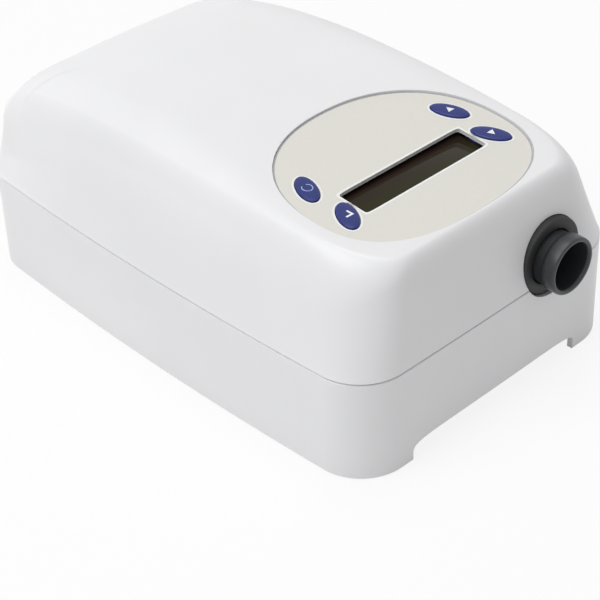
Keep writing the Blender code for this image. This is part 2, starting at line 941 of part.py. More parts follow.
def make_key_board():
    length = board_rear - board_front
    board = block("key_board", (2 * board_half_width, length, board_thickness),
                  (0, (board_rear + board_front) / 2, -board_top - board_thickness / 2), board_green,
                  panel_frame)
    holes = panel_rods("key_board_holes", board_places(), small_screw_radius + screw_play,
                       -board_top - board_thickness - overrun, fit_gap)
    cut(board, holes)
    reach = display_half_depth + glass_end_margin + frame_wall + 2 * fit_gap
    side = display_half_width + glass_side_margin + frame_wall + 2 * fit_gap
    low = mat_low()
    mat = block("key_mat", (2 * (board_half_width - mat_edge), length - 2 * mat_edge, mat_thickness),
                (0, (board_rear + board_front) / 2, low + mat_thickness / 2), rubber_black, panel_frame)
    domes = panel_rods("mat_domes", [(x, s) for name, x, s, turn in key_places()], dome_radius,
                       low + mat_thickness / 2, dome_top(), sides=20)
    join(mat, domes)
    way = block("mat_window", (2 * side, 2 * reach, board_top), (0, 0, low), None, panel_frame)
    posts = panel_rods("mat_post_ways", board_places(), board_post_radius + panel_fit, low - overrun,
                       low + board_top)
    cut(mat, way, posts)
    screws("key_board_screw", board_places(), -board_top - board_thickness - fit_gap, small_screw_head,
           small_screw_head_height, small_screw_radius, board_thickness + small_screw_reach, panel_frame, 1)


def make_ribbon():
    """Flat cable from the key board over the blower down to the supply board, as a bent strip."""
    edge_y, edge_z = panel_point(board_rear, -board_top - board_thickness / 2)
    start_y = edge_y + fit_gap
    end_y = ribbon_end_y()
    end_z = main_board_z + board_thickness + connector_height + 2 * fit_gap
    route = ((start_y, edge_z), (start_y + ribbon_bend, edge_z - ribbon_bend / 3),
             (blower_y + ribbon_bend, volute_high() + ribbon_bend), (end_y - 2 * ribbon_bend, volute_high()),
             (end_y, (volute_high() + end_z) / 2), (end_y, end_z))
    upper = []
    lower = []
    for step, (y, z) in enumerate(route):
        before = route[max(step - 1, 0)]
        after = route[min(step + 1, len(route) - 1)]
        along = Vector((after[0] - before[0], after[1] - before[1])).normalized()
        upper.append((y - along.y * ribbon_thickness / 2, z + along.x * ribbon_thickness / 2))
        lower.append((y + along.y * ribbon_thickness / 2, z - along.x * ribbon_thickness / 2))
    prism("display_ribbon", upper + lower[::-1], ribbon_x - ribbon_width / 2, ribbon_x + ribbon_width / 2,
          ribbon_white, axis="X")


# Outlet


def make_outlet():
    """Outlet spigot: lip, narrower neck, flange behind the wall and a tail for the sleeve."""
    tip = -tip_reach()
    flange = flange_front()
    lip_end = tip + outlet_lip_length
    tail_end = flange + outlet_flange + outlet_tail
    profile = [(outlet_bore, tail_end), (outlet_radius, tail_end), (outlet_radius, flange + outlet_flange),
               (outlet_flange_radius, flange + outlet_flange), (outlet_flange_radius, flange),
               (outlet_neck_radius, flange), (outlet_neck_radius, lip_end + mouth_chamfer),
               (outlet_radius, lip_end), (outlet_radius, tip + mouth_chamfer / 2),
               (outlet_radius - mouth_chamfer / 2, tip), (outlet_bore + mouth_chamfer / 2, tip),
               (outlet_bore, tip + mouth_chamfer)]
    tube = turned("outlet_tube", profile, port_grey, (outlet_x, 0, outlet_z), "Y", 32)
    ring_back = flange - fit_gap
    ring = ring_profile(outlet_neck_radius + fit_gap, outlet_opening - fit_gap, ring_back - outlet_ring_wall,
                        ring_back)
    turned("outlet_ring", ring, ring_black, (outlet_x, 0, outlet_z), "Y", 32)
    return tube, tail_end


def make_sleeve(tail_end):
    """Rubber sleeve with soft folds over both spigots."""
    inner = outlet_radius + fit_gap
    outer = inner + sleeve_wall
    start = tail_end - sleeve_grip
    end = duct_end_y - sleeve_gap
    free_start = tail_end + sleeve_gap
    free_end = duct_end_y - spigot_length - sleeve_gap
    fold = (free_end - free_start) / (2 * sleeve_folds)
    outside = [(outer, end)]
    inside = [(inner, end)]
    for step in range(2 * sleeve_folds + 1):
        bulge = sleeve_bulge if step % 2 else 0
        y = free_end - fold * step
        outside.append((outer + bulge, y))
        inside.append((inner + bulge, y))
    outside.append((outer, start))
    inside.append((inner, start))
    turned("outlet_sleeve", outside + inside[::-1], rubber_black, (outlet_x, 0, outlet_z), "Y", 24)


# Blower


def scroll_radius(angle):
    """Inner radius of the scroll at a turn measured back from the tongue."""
    reach = outlet_x + duct_half_width - blower_x
    return volute_small_radius + (reach - volute_small_radius) * angle / (2 * math.pi - tongue_turn)


def scroll_outline(grow):
    """Scroll and its straight duct, seen from above; grow moves the line outwards."""
    inner_side = outlet_x - duct_half_width - grow - blower_x
    start = math.acos(inner_side / (volute_small_radius + grow))
    points = []
    for step in range(scroll_steps + 1):
        turn = start + (2 * math.pi - start) * step / scroll_steps
        radius = scroll_radius(max(turn - tongue_turn, 0)) + grow
        points.append((blower_x + radius * math.cos(turn), blower_y - radius * math.sin(turn)))
    end = duct_end_y + volute_wall - grow
    points.append((outlet_x + duct_half_width + grow, end))
    points.append((outlet_x - duct_half_width - grow, end))
    return points


def ear_places():
    places = []
    for angle in ear_angles:
        radius = scroll_radius(2 * math.pi - angle - tongue_turn) + volute_wall + ear_radius - volute_wall / 2
        places.append((blower_x + radius * math.cos(angle), blower_y + radius * math.sin(angle)))
    return places


def volute_half(name, low, high, floor_low, floor_high, surface):
    """One half of the scroll: its outline with the hollow, the spigot's half and the bore cut through."""
    half = prism(name, scroll_outline(volute_wall), low, high, surface)
    spigot = rod(name + "_spigot", outlet_radius, spigot_length + overrun,
                 (outlet_x, duct_end_y - (spigot_length - overrun) / 2, outlet_z), None, axis="Y", sides=32)
    band = block(name + "_band", (2 * case_width, 2 * case_length, high - low), (0, 0, (high + low) / 2), None)
    combine(spigot, band, "INTERSECT")
    join(half, spigot)
    hollow = prism(name + "_hollow", scroll_outline(0), floor_low, floor_high, None)
    bore = rod(name + "_bore", outlet_bore, 2 * (spigot_length + overrun),
               (outlet_x, duct_end_y - spigot_length + overrun, outlet_z), None, axis="Y", sides=32)
    return half, hollow, bore


def make_volute():
    seam = fit_gap / 2
    base, hollow, bore = volute_half("volute_base", volute_low(), outlet_z - seam, volute_low() + volute_wall,
                                     outlet_z + overrun, inner_plastic)
    hub = rod("base_hub", hub_radius + hub_wall, hub_height,
              (blower_x, blower_y, volute_low() + volute_wall - hub_height / 2), None)
    ears = rods("base_ears", ear_places(), ear_radius, volute_low(), volute_low() + ear_thickness)
    join(base, hub, ears)
    pocket = rod("hub_pocket", bearing_radius + fit_gap, hub_height + overrun,
                 (blower_x, blower_y, volute_low() + volute_wall - bearing_cap - (hub_height + overrun) / 2), None)
    way = rod("hub_way", bearing_bore + fit_gap, 2 * hub_height, (blower_x, blower_y, volute_low()), None)
    ear_bores = rods("ear_bores", ear_places(), screw_radius + screw_play, volute_low() - overrun,
                     volute_low() + ear_thickness + overrun)
    cut(base, hollow, bore, pocket, way, ear_bores)
    cover, hollow, bore = volute_half("volute_cover", outlet_z + seam, volute_high(), outlet_z - overrun,
                                      volute_high() - volute_wall, inner_plastic)
    eye = rod("eye_cut", eye_radius, 2 * volute_half_height, (blower_x, blower_y, volute_high()), None, sides=32)
    cut(cover, hollow, bore, eye)


def blade_outline(start):
    """Backward-leaning blade seen from above, of even thickness."""
    first = hub_radius - fit_gap
    last = wheel_radius - fit_gap
    front = []
    back = []
    for step in range(blade_steps + 1):
        share = step / blade_steps
        radius = first + (last - first) * share
        turn = start + blade_sweep * share ** blade_curl
        lean = math.atan(radius * blade_sweep * blade_curl * max(share, 1 / blade_steps) ** (blade_curl - 1)
                         / (last - first))
        across = blade_thickness / 2 / (radius * math.cos(lean))
        front.append((radius * math.cos(turn + across), radius * math.sin(turn + across)))
        back.append((radius * math.cos(turn - across), radius * math.sin(turn - across)))
    return front + back[::-1]


def make_impeller():
    """Wheel: back plate, hub and a ring of leaning blades, fused into one piece on the shaft."""
    low = volute_low() + volute_wall + wheel_clearance
    profile = [(bearing_bore_on_shaft(), low), (bearing_bore_on_shaft(), low + hub_length),
               (hub_radius * hub_tip_share, low + hub_length), (hub_radius, low + plate_thickness * 2),
               (hub_radius + plate_thickness, low + plate_thickness), (wheel_radius, low + plate_thickness),
               (wheel_radius, low)]
    wheel = turned("impeller", profile, wheel_white, (blower_x, blower_y, 0), "Z", 32)
    bm = bmesh.new()
    for step in range(blade_count):
        add_prism(bm, blade_outline(2 * math.pi * step / blade_count), low + plate_thickness / 2,
                  low + plate_thickness + blade_height)
    blades = add_object("blades", finish_mesh(bm, "blades"), None, (blower_x, blower_y, 0))
    join(wheel, blades)
    return wheel


def bearing_bore_on_shaft():
    return shaft_radius + fit_gap


def make_motor():
    """Motor hung under the scroll: can, stator with poles, rotor, shaft and two bearings."""
    place = (blower_x, blower_y, 0)
    top = volute_low() - fit_gap
    low = top - motor_height
    seat = bearing_radius + fit_gap
    can = [(0, low + can_wall), (seat, low + can_wall), (seat, low + can_wall + bearing_height),
           (seat + can_wall, low + can_wall + bearing_height), (seat + can_wall, low + can_wall),
           (motor_radius - can_wall, low + can_wall), (motor_radius - can_wall, top), (motor_radius, top),
           (motor_radius, low), (0, low)]
    turned("motor_can", can, steel, place, "Z", 24)
    bearing_low = low + can_wall + fit_gap
    bearing_high = volute_low() + volute_wall - bearing_cap - fit_gap - bearing_height
    for name, z in (("lower_bearing", bearing_low), ("upper_bearing", bearing_high)):
        profile = ring_profile(shaft_radius + bearing_play, bearing_radius, z, z + bearing_height)
        turned(name, profile, steel, place, "Z", 24)
    shaft_low = low + can_wall + fit_gap
    wheel_low = volute_low() + volute_wall + wheel_clearance
    shaft_high = wheel_low + hub_length - fit_gap
    rod("motor_shaft", shaft_radius, shaft_high - shaft_low, (blower_x, blower_y, (shaft_high + shaft_low) / 2),
        steel, sides=16)
    stator_low = bearing_low + bearing_height + can_wall
    outline = stator_outline()
    stator = prism("motor_stator", rounded_ring(stator_outer, stator_sides), stator_low,
                   stator_low + stator_height, copper_wound, place)
    hollow = prism("stator_hollow", outline, stator_low - overrun, stator_low + stator_height + overrun, None,
                   place)
    cut(stator, hollow)
    rotor = ring_profile(shaft_radius + fit_gap, rotor_radius, stator_low, stator_low + stator_height)
    turned("motor_rotor", rotor, chip_black, place, "Z", 24)


def rounded_ring(radius, sides):
    return [(radius * math.cos(2 * math.pi * step / sides), radius * math.sin(2 * math.pi * step / sides))
            for step in range(sides)]


def stator_outline():
    """The stator's hollow: its bore and the slots between its poles."""
    points = []
    for pole in range(pole_count):
        middle = 2 * math.pi * pole / pole_count
        half = math.pi / pole_count
        for radius, share in ((stator_inner, -1 + pole_share), (stator_slot, -1 + pole_share),
                              (stator_slot, 1 - pole_share), (stator_inner, 1 - pole_share)):
            points.append((radius * math.cos(middle + half * share), radius * math.sin(middle + half * share)))
    return points


def make_mounts():
    """Rubber bobbins that carry the scroll: a peg down into the post and a button up through the ear."""
    low = mount_low()
    high = low + mount_height
    head_low = volute_low() + ear_thickness + fit_gap
    head_high = head_low + mount_head_height
    profile = [(0, head_high), (mount_head_radius, head_high), (mount_head_radius, head_low),
               (screw_radius, head_low), (screw_radius, high), (mount_radius, high), (mount_radius, low),
               (screw_radius, low), (screw_radius, low - mount_peg_reach), (0, low - mount_peg_reach)]
    for number, (x, y) in enumerate(ear_places(), 1):
        turned(f"blower_mount_{number}", profile, rubber_black, (x, y, 0), "Z", screw_sides)


# Air path behind the blower


def bonnet_turn():
    return math.atan2(box_spigot_x - blower_x, box_front_y - box_spigot_length - blower_y)


def bonnet_middle():
    return volute_high() + fit_gap + bonnet_height / 2


def make_bonnet():
    """Cap over the scroll's eye with a side spigot towards the inlet box."""
    low = volute_high() + fit_gap
    high = low + bonnet_height
    outside = rod("inlet_bonnet", bonnet_radius, bonnet_height, (blower_x, blower_y, (low + high) / 2),
                  inner_plastic, sides=36)
    outside.rotation_euler = (0, 0, -bonnet_turn())
    reach = bonnet_radius + bonnet_spigot_length
    spigot = rod("bonnet_spigot", spigot_outer, reach, (0, reach / 2, 0), None, outside, "Y", 28)
    join(outside, spigot)
    inside = rod("bonnet_hollow", bonnet_radius - bonnet_wall, bonnet_height, (0, 0, -bonnet_wall), None, outside,
                 sides=36)
    bore = rod("bonnet_bore", spigot_outer - spigot_wall, reach + overrun, (0, (reach + overrun) / 2, 0), None,
               outside, "Y", 28)
    cut(outside, inside, bore)


def box_outline(inset, rear_reach):
    low = rear_item_z - filter_height / 2 + inset
    high = rear_item_z + filter_height / 2 - inset
    front = box_front_y + inset
    return [(front, low), (rear_reach, low), (rear_reach, high), (box_step_y - inset, high),
            (box_top_y - inset, box_top_z - inset), (front, box_top_z - inset)]


def make_inlet_box():
    """Silencer box behind the filter, open to the rear, with a spigot at its front."""
    half = filter_width / 2
    rear = half_length() - box_setback
    box = prism("inlet_box", box_outline(0, rear), filter_x - half, filter_x + half, inner_plastic, axis="X")
    hollow = prism("box_hollow", box_outline(box_wall, rear + overrun), filter_x - half + box_wall,
                   filter_x + half - box_wall, None, axis="X")
    spigot = rod("box_spigot", spigot_outer, box_spigot_length + box_wall,
                 (box_spigot_x, box_front_y + (box_wall - box_spigot_length) / 2, bonnet_middle()), None, axis="Y",
                 sides=28)
    bore = rod("box_bore", spigot_outer - spigot_wall, 2 * (box_spigot_length + box_wall),
               (box_spigot_x, box_front_y - box_spigot_length, bonnet_middle()), None, axis="Y", sides=28)
    cut(box, hollow)
    join(box, spigot)
    cut(box, bore)
    foam_low = rear_item_z - filter_height / 2 + box_wall + fit_gap
    foam_high = rear_item_z + filter_height / 2 - box_wall - fit_gap
    length = box_step_y - box_front_y - 2 * box_wall - foam_space
    block("inlet_foam", (filter_width - 2 * (box_wall + fit_gap), length, foam_high - foam_low),
          (filter_x, box_front_y + box_wall + fit_gap + length / 2, (foam_low + foam_high) / 2), foam_grey)
    foam_rear = cover_rear() - cover_thickness - fit_gap
    block("filter_foam", (filter_width - 2 * (box_wall + prong_thickness + 2 * fit_gap), foam_thickness,
                          filter_height - 2 * (box_wall + fit_gap)),
          (filter_x, foam_rear - foam_thickness / 2, rear_item_z), foam_grey)


def cover_rear():
    """Outer face of the filter cover, level with the bowed rear wall at its middle."""
    return half_length() - end_bow * (filter_x / (half_width() - corner_radius)) ** 2 - rear_sink


def make_filter_cover():
    """Slotted cover that swings out about its lower edge, with two low tongues that guide it in the box."""
    rear = cover_rear()
    cover = prism("filter_cover", rounded_box(filter_width / 2, filter_height / 2, rear_corner, 3),
                  rear - cover_thickness, rear, case_white, (filter_x, 0, rear_item_z), axis="Y")
    bm = bmesh.new()
    for side in (-1, 1):
        add_block(bm, (prong_thickness, prong_length + cover_thickness / 2, prong_width),
                  (side * (filter_width / 2 - box_wall - fit_gap - prong_thickness / 2),
                   rear - cover_thickness / 2 - (prong_length + cover_thickness / 2) / 2,
                   box_wall + fit_gap + prong_width / 2 - filter_height / 2))
    prongs = add_object("cover_prongs", finish_mesh(bm, "cover_prongs"), None, (filter_x, 0, rear_item_z))
    join(cover, prongs)
    bm = bmesh.new()
    pitch = (filter_height - 2 * cover_rim) / louvre_count
    for step in range(louvre_count):
        z = (step - (louvre_count - 1) / 2) * pitch
        add_block(bm, (filter_width - 2 * cover_rim - 2 * prong_thickness, 2 * (cover_thickness + overrun),
                       louvre_height), (0, rear, z))
    slots = add_object("cover_slots", finish_mesh(bm, "cover_slots"), None, (filter_x, 0, rear_item_z))
    cut(cover, slots)


def hose_route():
    """Middle line of the inlet hose: straight off each spigot with one easy bend between them."""
    turn = bonnet_turn()
    away = Vector((math.sin(turn), math.cos(turn), 0))
    middle = Vector((blower_x, blower_y, bonnet_middle()))
    start = middle + away * (bonnet_radius + bonnet_spigot_length)
    lead_out = start + away * hose_lead
    end = Vector((box_spigot_x, box_front_y - box_spigot_length, bonnet_middle()))
    lead_in = end - Vector((0, hose_lead, 0))
    points = [middle + away * (bonnet_radius + hose_grip_gap)]
    for step in range(hose_steps + 1):
        t = step / hose_steps
        points.append((1 - t) ** 3 * start + 3 * t * (1 - t) ** 2 * lead_out + 3 * t ** 2 * (1 - t) * lead_in
                      + t ** 3 * end)
    points.append(end + Vector((0, box_spigot_length - hose_grip_gap, 0)))
    return points


def curve_tube(name, points, radius, surface, resolution, caps=True):
    line = bpy.data.curves.new(name, "CURVE")
    line.dimensions = "3D"
    line.bevel_depth = radius
    line.bevel_resolution = resolution
    line.use_fill_caps = caps
    spline = line.splines.new("POLY")
    spline.points.add(len(points) - 1)
    for point, place in zip(spline.points, points):
        point.co = (*place, 1)
    return add_object(name, line, surface)


def as_mesh(piece):
    """A curve turned into a mesh of the same name and place, its seams welded."""
    bpy.context.view_layer.update()
    seen = piece.evaluated_get(bpy.context.evaluated_depsgraph_get())
    mesh = bpy.data.meshes.new_from_object(seen)
    name = piece.name
    line = piece.data
    bm = bmesh.new()
    bm.from_mesh(mesh)
    bmesh.ops.remove_doubles(bm, verts=bm.verts, dist=merge_distance)
    bmesh.ops.recalc_face_normals(bm, faces=bm.faces)
    bm.to_mesh(mesh)
    bm.free()
    place = piece.matrix_world.copy()
    surface = line.materials[0]
    bpy.data.objects.remove(piece, do_unlink=True)
    bpy.data.curves.remove(line)
    mesh.name = name
    made = bpy.data.objects.new(name, mesh)
    parts.objects.link(made)
    made.matrix_world = place
    if not mesh.materials:
        mesh.materials.append(surface)
    return made


def make_hose():
    hose = as_mesh(curve_tube("inlet_hose", hose_route(), hose_radius, rubber_black, 6, caps=False))
    thicken(hose, hose_wall)


def make_sensor_tube(tail_end):
    """Soft tube from the spigot's nipple round the blower to the pressure sensor."""
    nipple_y = tail_end - outlet_tail + nipple_setback
    near = outlet_x + outlet_radius + nipple_length + fit_gap
    low = main_board_z + board_thickness + fit_gap + sensor_height / 2
    side = half_width() - tube_side_gap
    knots = [Vector(place) for place in (
        (near, nipple_y, outlet_z), (near + tube_bend, nipple_y, outlet_z),
        (side, nipple_y + 2 * tube_bend, outlet_z - tube_bend), (side, duct_end_y, outlet_z / 2 + low / 2),
        (side, blower_y, low + tube_radius), (side - tube_bend, blower_y + volute_small_radius, low),
        (outlet_x, sensor_y - sensor_side / 2 - 2 * tube_bend, low),
        (sensor_x + tube_bend, sensor_y - sensor_side / 2 - tube_bend, low),
        (sensor_x, sensor_y - sensor_side / 2 - fit_gap, low))]
    points = []
    for step in range(len(knots) - 1):
        before = knots[max(step - 1, 0)]
        first = knots[step]
        second = knots[step + 1]
        after = knots[min(step + 2, len(knots) - 1)]
        for part_step in range(tube_steps):
            t = part_step / tube_steps
            points.append(0.5 * (2 * first + (second - before) * t
                                 + (2 * before - 5 * first + 4 * second - after) * t ** 2
                                 + (3 * first - before - 3 * second + after) * t ** 3))
    points.append(knots[-1])
    points.insert(1, knots[0] + Vector((tube_lead, 0, 0)))
    points.insert(-1, knots[-1] - Vector((0, tube_lead, 0)))
    curve_tube("sensor_tube", points, tube_radius, tube_clear, 1)


# Supply board and rear sockets


def main_board_places():
    half_x = main_board_width / 2 - board_corner_inset
    half_y = main_board_length / 2 - board_corner_inset
    return [(main_board_x + side_x * half_x, main_board_y + side_y * half_y)
            for side_x in (-1, 1) for side_y in (-1, 1)]


def main_screw_places():
    """Two opposite corners of the supply board are screwed down."""
    return main_board_places()[::3]


def box_stand_places():
    half = filter_width / 2 - board_corner_inset
    rear = half_length() - box_setback - board_corner_inset
    return [(filter_x + side * half, y) for side in (0, 1) for y in (box_front_y + board_corner_inset, rear)]


def on_board(name, place, size, surface):
    """A block-shaped component standing on the supply board."""
    x, y = place
    z = main_board_z + board_thickness + fit_gap + size[2] / 2
    return block(name, size, (x, y, z), surface)


def make_main_board():
    board = block("main_board", (main_board_width, main_board_length, board_thickness),
                  (main_board_x, main_board_y, main_board_z + board_thickness / 2), board_green)
    holes = rods("main_board_holes", main_screw_places(), small_screw_radius + screw_play, main_board_z - overrun,
                 main_board_z + board_thickness + overrun, sides=12)
    cut(board, holes)
    board_high = main_board_z + board_thickness + fit_gap
    screws("main_board_screw", main_screw_places(), board_high, small_screw_head, small_screw_head_height,
           small_screw_radius, board_thickness + small_screw_reach, machine, -1)
    coil_x = main_board_x - main_board_width / 2 + coil_inset + coil_width / 2
    coil_y = main_board_y - main_board_length / 2 + coil_setback + coil_length / 2
    on_board("transformer", (coil_x, coil_y), (coil_width, coil_length, coil_height), copper_wound)
    can_x = coil_x + coil_width / 2 + can_gap + capacitor_radius
    can_y = coil_y - coil_length / 2 + capacitor_radius
    rod("capacitor", capacitor_radius, capacitor_height, (can_x, can_y, board_high + capacitor_height / 2),
        chip_black)
    sink_x = main_board_x + main_board_width / 2 - sink_width / 2 - board_corner_inset
    sink_y = main_board_y + sink_setback
    sink = on_board("heat_sink", (sink_x, sink_y), (sink_width, sink_length, sink_height), aluminium)
    bm = bmesh.new()
    pitch = sink_width / (2 * fin_count - 1)
    for step in range(fin_count - 1):
        add_block(bm, (pitch, 2 * sink_length, sink_height),
                  (sink_x - sink_width / 2 + pitch * (2 * step + 3 / 2), sink_y,
                   board_high + sink_height / 2 + fin_foot))
    cut(sink, add_object("fin_slots", finish_mesh(bm, "fin_slots"), None))
    on_board("ribbon_socket", (ribbon_x, ribbon_end_y()),
             (ribbon_width + connector_side / 2, connector_side, connector_height), cream_plastic)
    on_board("pressure_sensor", (sensor_x, sensor_y), (sensor_side, sensor_side, sensor_height), chip_black)


def make_socket():
    """Mains inlet: a shroud with a deep pocket and two flat pins."""
    rear = half_length() - end_bow * (socket_x / (half_width() - corner_radius)) ** 2 - rear_sink
    outline = rounded_box(socket_width / 2, socket_height / 2, rear_corner, 3)
    socket = prism("mains_socket", outline, rear - socket_depth, rear, chip_black, (socket_x, 0, rear_item_z),
                   axis="Y")
    inner = rounded_box(socket_width / 2 - socket_wall, socket_height / 2 - socket_wall, rear_corner, 3)
    floor = rear - pin_reach - socket_wall
    hollow = prism("socket_hollow", inner, floor, rear + overrun, None, (socket_x, 0, rear_item_z), axis="Y")
    cut(socket, hollow)
    length = pin_reach - rear_sink + 2 * socket_wall
    ways = bmesh.new()
    for name, side in (("left_pin", -1), ("right_pin", 1)):
        block(name, (pin_thickness, length, pin_width),
              (socket_x + side * pin_spacing, floor + length / 2 - 2 * socket_wall, rear_item_z), steel)
        add_block(ways, (pin_thickness + 2 * fit_gap, 2 * (2 * socket_wall + fit_gap), pin_width + 2 * fit_gap),
                  (side * pin_spacing, floor, 0))
    cut(socket, add_object("pin_ways", finish_mesh(ways, "pin_ways"), None, (socket_x, 0, rear_item_z)))


def rocker_pivot():
    rear = half_length() - end_bow * (switch_x / (half_width() - corner_radius)) ** 2 - rear_sink
    return rear, rear - rocker_setback


def make_switch():
    """Rocker switch: a frame with a pocket, and the rocker on its cross pin, resting on its lower side."""
    rear, pivot = rocker_pivot()
    body = prism("switch_body", rounded_box(switch_width / 2, switch_height / 2, rear_corner / 2, 2),
                 rear - switch_depth, rear, chip_black, (switch_x, 0, rear_item_z), axis="Y")
    half_z = switch_height / 2 - switch_wall
    half_x = switch_width / 2 - switch_wall
    hollow = block("switch_hollow", (2 * half_x, 2 * pocket_depth, 2 * half_z), (switch_x, rear, rear_item_z), None)
    ways = rod("rocker_ways", rocker_pin + fit_gap, 2 * (half_x + switch_wall / 2 + fit_gap),
               (switch_x, pivot, rear_item_z), None, axis="X", sides=16)
    cut(body, hollow, ways)
    tip = half_z * rocker_tip_share
    outline = [(0, -tip), (rocker_crest, -tip), (rocker_saddle, 0), (rocker_crest, tip), (0, tip),
               (-rocker_keel, 0)]
    rocker = prism("mains_rocker", outline, -half_x + fit_gap, half_x - fit_gap, chip_black,
                   (switch_x, pivot, rear_item_z), axis="X")
    rocker.rotation_euler = (rocker_tilt, 0, 0)
    pin = rod("rocker_axle", rocker_pin, 2 * (half_x + switch_wall / 2), (0, 0, 0), None, rocker, "X", 16)
    join(rocker, pin)


def nipple(tube, tail_end):
    """Side nipple of the outlet spigot, for the sensor's tube."""
    y = tail_end - outlet_tail + nipple_setback
    reach = outlet_radius - outlet_bore + nipple_length
    stub = rod("nipple_stub", tube_radius, reach - fit_gap,
               (outlet_x + outlet_bore + fit_gap + (reach - fit_gap) / 2, y, outlet_z), None, axis="X", sides=12)
    join(tube, stub)


shared_cuts = make_case_cutters()
make_upper_case(shared_cuts)
make_lower_case(shared_cuts)
make_feet()
screws("case_screw", post_places(), head_seat - fit_gap, screw_head_radius, screw_head_height, screw_radius,
       parting_height - head_seat + case_screw_reach, machine, 1)
make_panel()
make_keys()
make_display()
make_key_board()
make_ribbon()
tube, tail_end = make_outlet()
nipple(tube, tail_end)
make_sleeve(tail_end)
make_volute()
make_impeller()
make_motor()
make_mounts()
make_bonnet()
make_inlet_box()
make_filter_cover()
make_hose()
make_sensor_tube(tail_end)
make_main_board()
make_socket()
make_switch()
bpy.context.view_layer.update()
print("sub-parts:", len([piece for piece in parts.objects if piece.type != "EMPTY"]))
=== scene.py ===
import bpy
import bmesh
import json
import math
from mathutils import Matrix, Vector

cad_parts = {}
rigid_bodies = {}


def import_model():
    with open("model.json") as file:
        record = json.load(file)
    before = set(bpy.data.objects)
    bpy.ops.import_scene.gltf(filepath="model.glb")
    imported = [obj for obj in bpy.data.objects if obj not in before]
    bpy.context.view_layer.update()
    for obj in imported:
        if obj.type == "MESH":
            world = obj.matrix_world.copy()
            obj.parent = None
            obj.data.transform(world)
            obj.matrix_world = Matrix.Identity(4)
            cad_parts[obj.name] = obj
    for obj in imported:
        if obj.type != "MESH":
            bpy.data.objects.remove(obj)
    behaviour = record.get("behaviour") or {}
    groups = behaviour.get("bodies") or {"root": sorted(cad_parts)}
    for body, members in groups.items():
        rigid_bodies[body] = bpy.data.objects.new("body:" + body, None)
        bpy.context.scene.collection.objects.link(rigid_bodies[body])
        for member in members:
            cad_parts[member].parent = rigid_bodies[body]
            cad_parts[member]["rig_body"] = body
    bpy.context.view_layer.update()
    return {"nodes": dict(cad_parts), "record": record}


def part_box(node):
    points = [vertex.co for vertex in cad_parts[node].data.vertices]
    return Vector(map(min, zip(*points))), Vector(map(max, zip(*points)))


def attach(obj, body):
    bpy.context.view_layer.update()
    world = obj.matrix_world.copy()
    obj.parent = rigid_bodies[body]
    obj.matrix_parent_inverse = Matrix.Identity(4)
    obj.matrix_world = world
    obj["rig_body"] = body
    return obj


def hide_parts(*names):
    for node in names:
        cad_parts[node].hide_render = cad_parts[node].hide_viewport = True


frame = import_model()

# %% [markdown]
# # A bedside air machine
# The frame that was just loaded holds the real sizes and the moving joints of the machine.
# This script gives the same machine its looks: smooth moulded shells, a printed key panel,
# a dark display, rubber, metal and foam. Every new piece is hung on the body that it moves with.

mm = 0.001
nodes = frame["nodes"]

# %% [markdown]
# ## The camera
# The picture was taken from the front left and from above, with a long lens. A camera is three
# things: where it stands, which way it looks, and how long its lens is. The matrix below is built
# from the viewing direction, so that no turn has to be guessed in degrees about three axes.

# %% Camera at the picture's angle
look_turn = math.radians(42.8515)
look_down = math.radians(34.2915)
camera_roll = math.radians(-2.1257)
forward = Vector((math.sin(look_turn) * math.cos(look_down), math.cos(look_turn) * math.cos(look_down),
                  -math.sin(look_down)))
level = Vector((math.cos(look_turn), -math.sin(look_turn), 0))
upright = level.cross(forward)
across = level * math.cos(camera_roll) + upright * math.sin(camera_roll)
above = upright * math.cos(camera_roll) - level * math.sin(camera_roll)
lens_length = 107.145
sideways_shift = -0.00046
upward_shift = -0.10113
camera_place = Vector((-383.72, -416.14, 408.84)) * mm
lens = bpy.data.cameras.new("camera")
lens.lens = lens_length
lens.shift_x = sideways_shift
lens.shift_y = upward_shift
camera = bpy.data.objects.new("camera", lens)
camera.matrix_world = Matrix((across, above, -forward)).transposed().to_4x4()
camera.location = camera_place
bpy.context.scene.collection.objects.link(camera)
bpy.context.scene.camera = camera
print("camera stands at", [round(value, 3) for value in camera.location])

# %% [markdown]
# ## The floor and the light
# A white case shows its form only through soft shading. One large soft lamp stands above the left
# side and a weaker one overhead, the surroundings fill the rest, and the floor gives some light back
# from below. The camera and the reflections see plain white, but as a light the surroundings are
# weaker.

# %% World: white to the eye, calmer as a light
world = bpy.data.worlds.new("studio")
bpy.context.scene.world = world
world.use_nodes = True
bpy.context.scene.view_settings.view_transform = "Standard"
fill_strength = 0.43


def seen_directly(tree):
    """Adds up the rays that should find plain white: camera, glossy and transmission rays."""
    path = tree.nodes.new("ShaderNodeLightPath")
    first = tree.nodes.new("ShaderNodeMath")
    first.operation = "MAXIMUM"
    second = tree.nodes.new("ShaderNodeMath")
    second.operation = "MAXIMUM"
    tree.links.new(path.outputs["Is Camera Ray"], first.inputs[0])
    tree.links.new(path.outputs["Is Glossy Ray"], first.inputs[1])
    tree.links.new(first.outputs[0], second.inputs[0])
    tree.links.new(path.outputs["Is Transmission Ray"], second.inputs[1])
    return second.outputs[0]


sky = world.node_tree
fill = sky.nodes["Background"]
fill.inputs["Color"].default_value = (1, 1, 1, 1)
fill.inputs["Strength"].default_value = fill_strength
plain = sky.nodes.new("ShaderNodeBackground")
plain.inputs["Color"].default_value = (1, 1, 1, 1)
plain.inputs["Strength"].default_value = 1
either = sky.nodes.new("ShaderNodeMixShader")
sky.links.new(seen_directly(sky), either.inputs[0])
sky.links.new(fill.outputs[0], either.inputs[1])
sky.links.new(plain.outputs[0], either.inputs[2])
sky.links.new(either.outputs[0], sky.nodes["World Output"].inputs["Surface"])

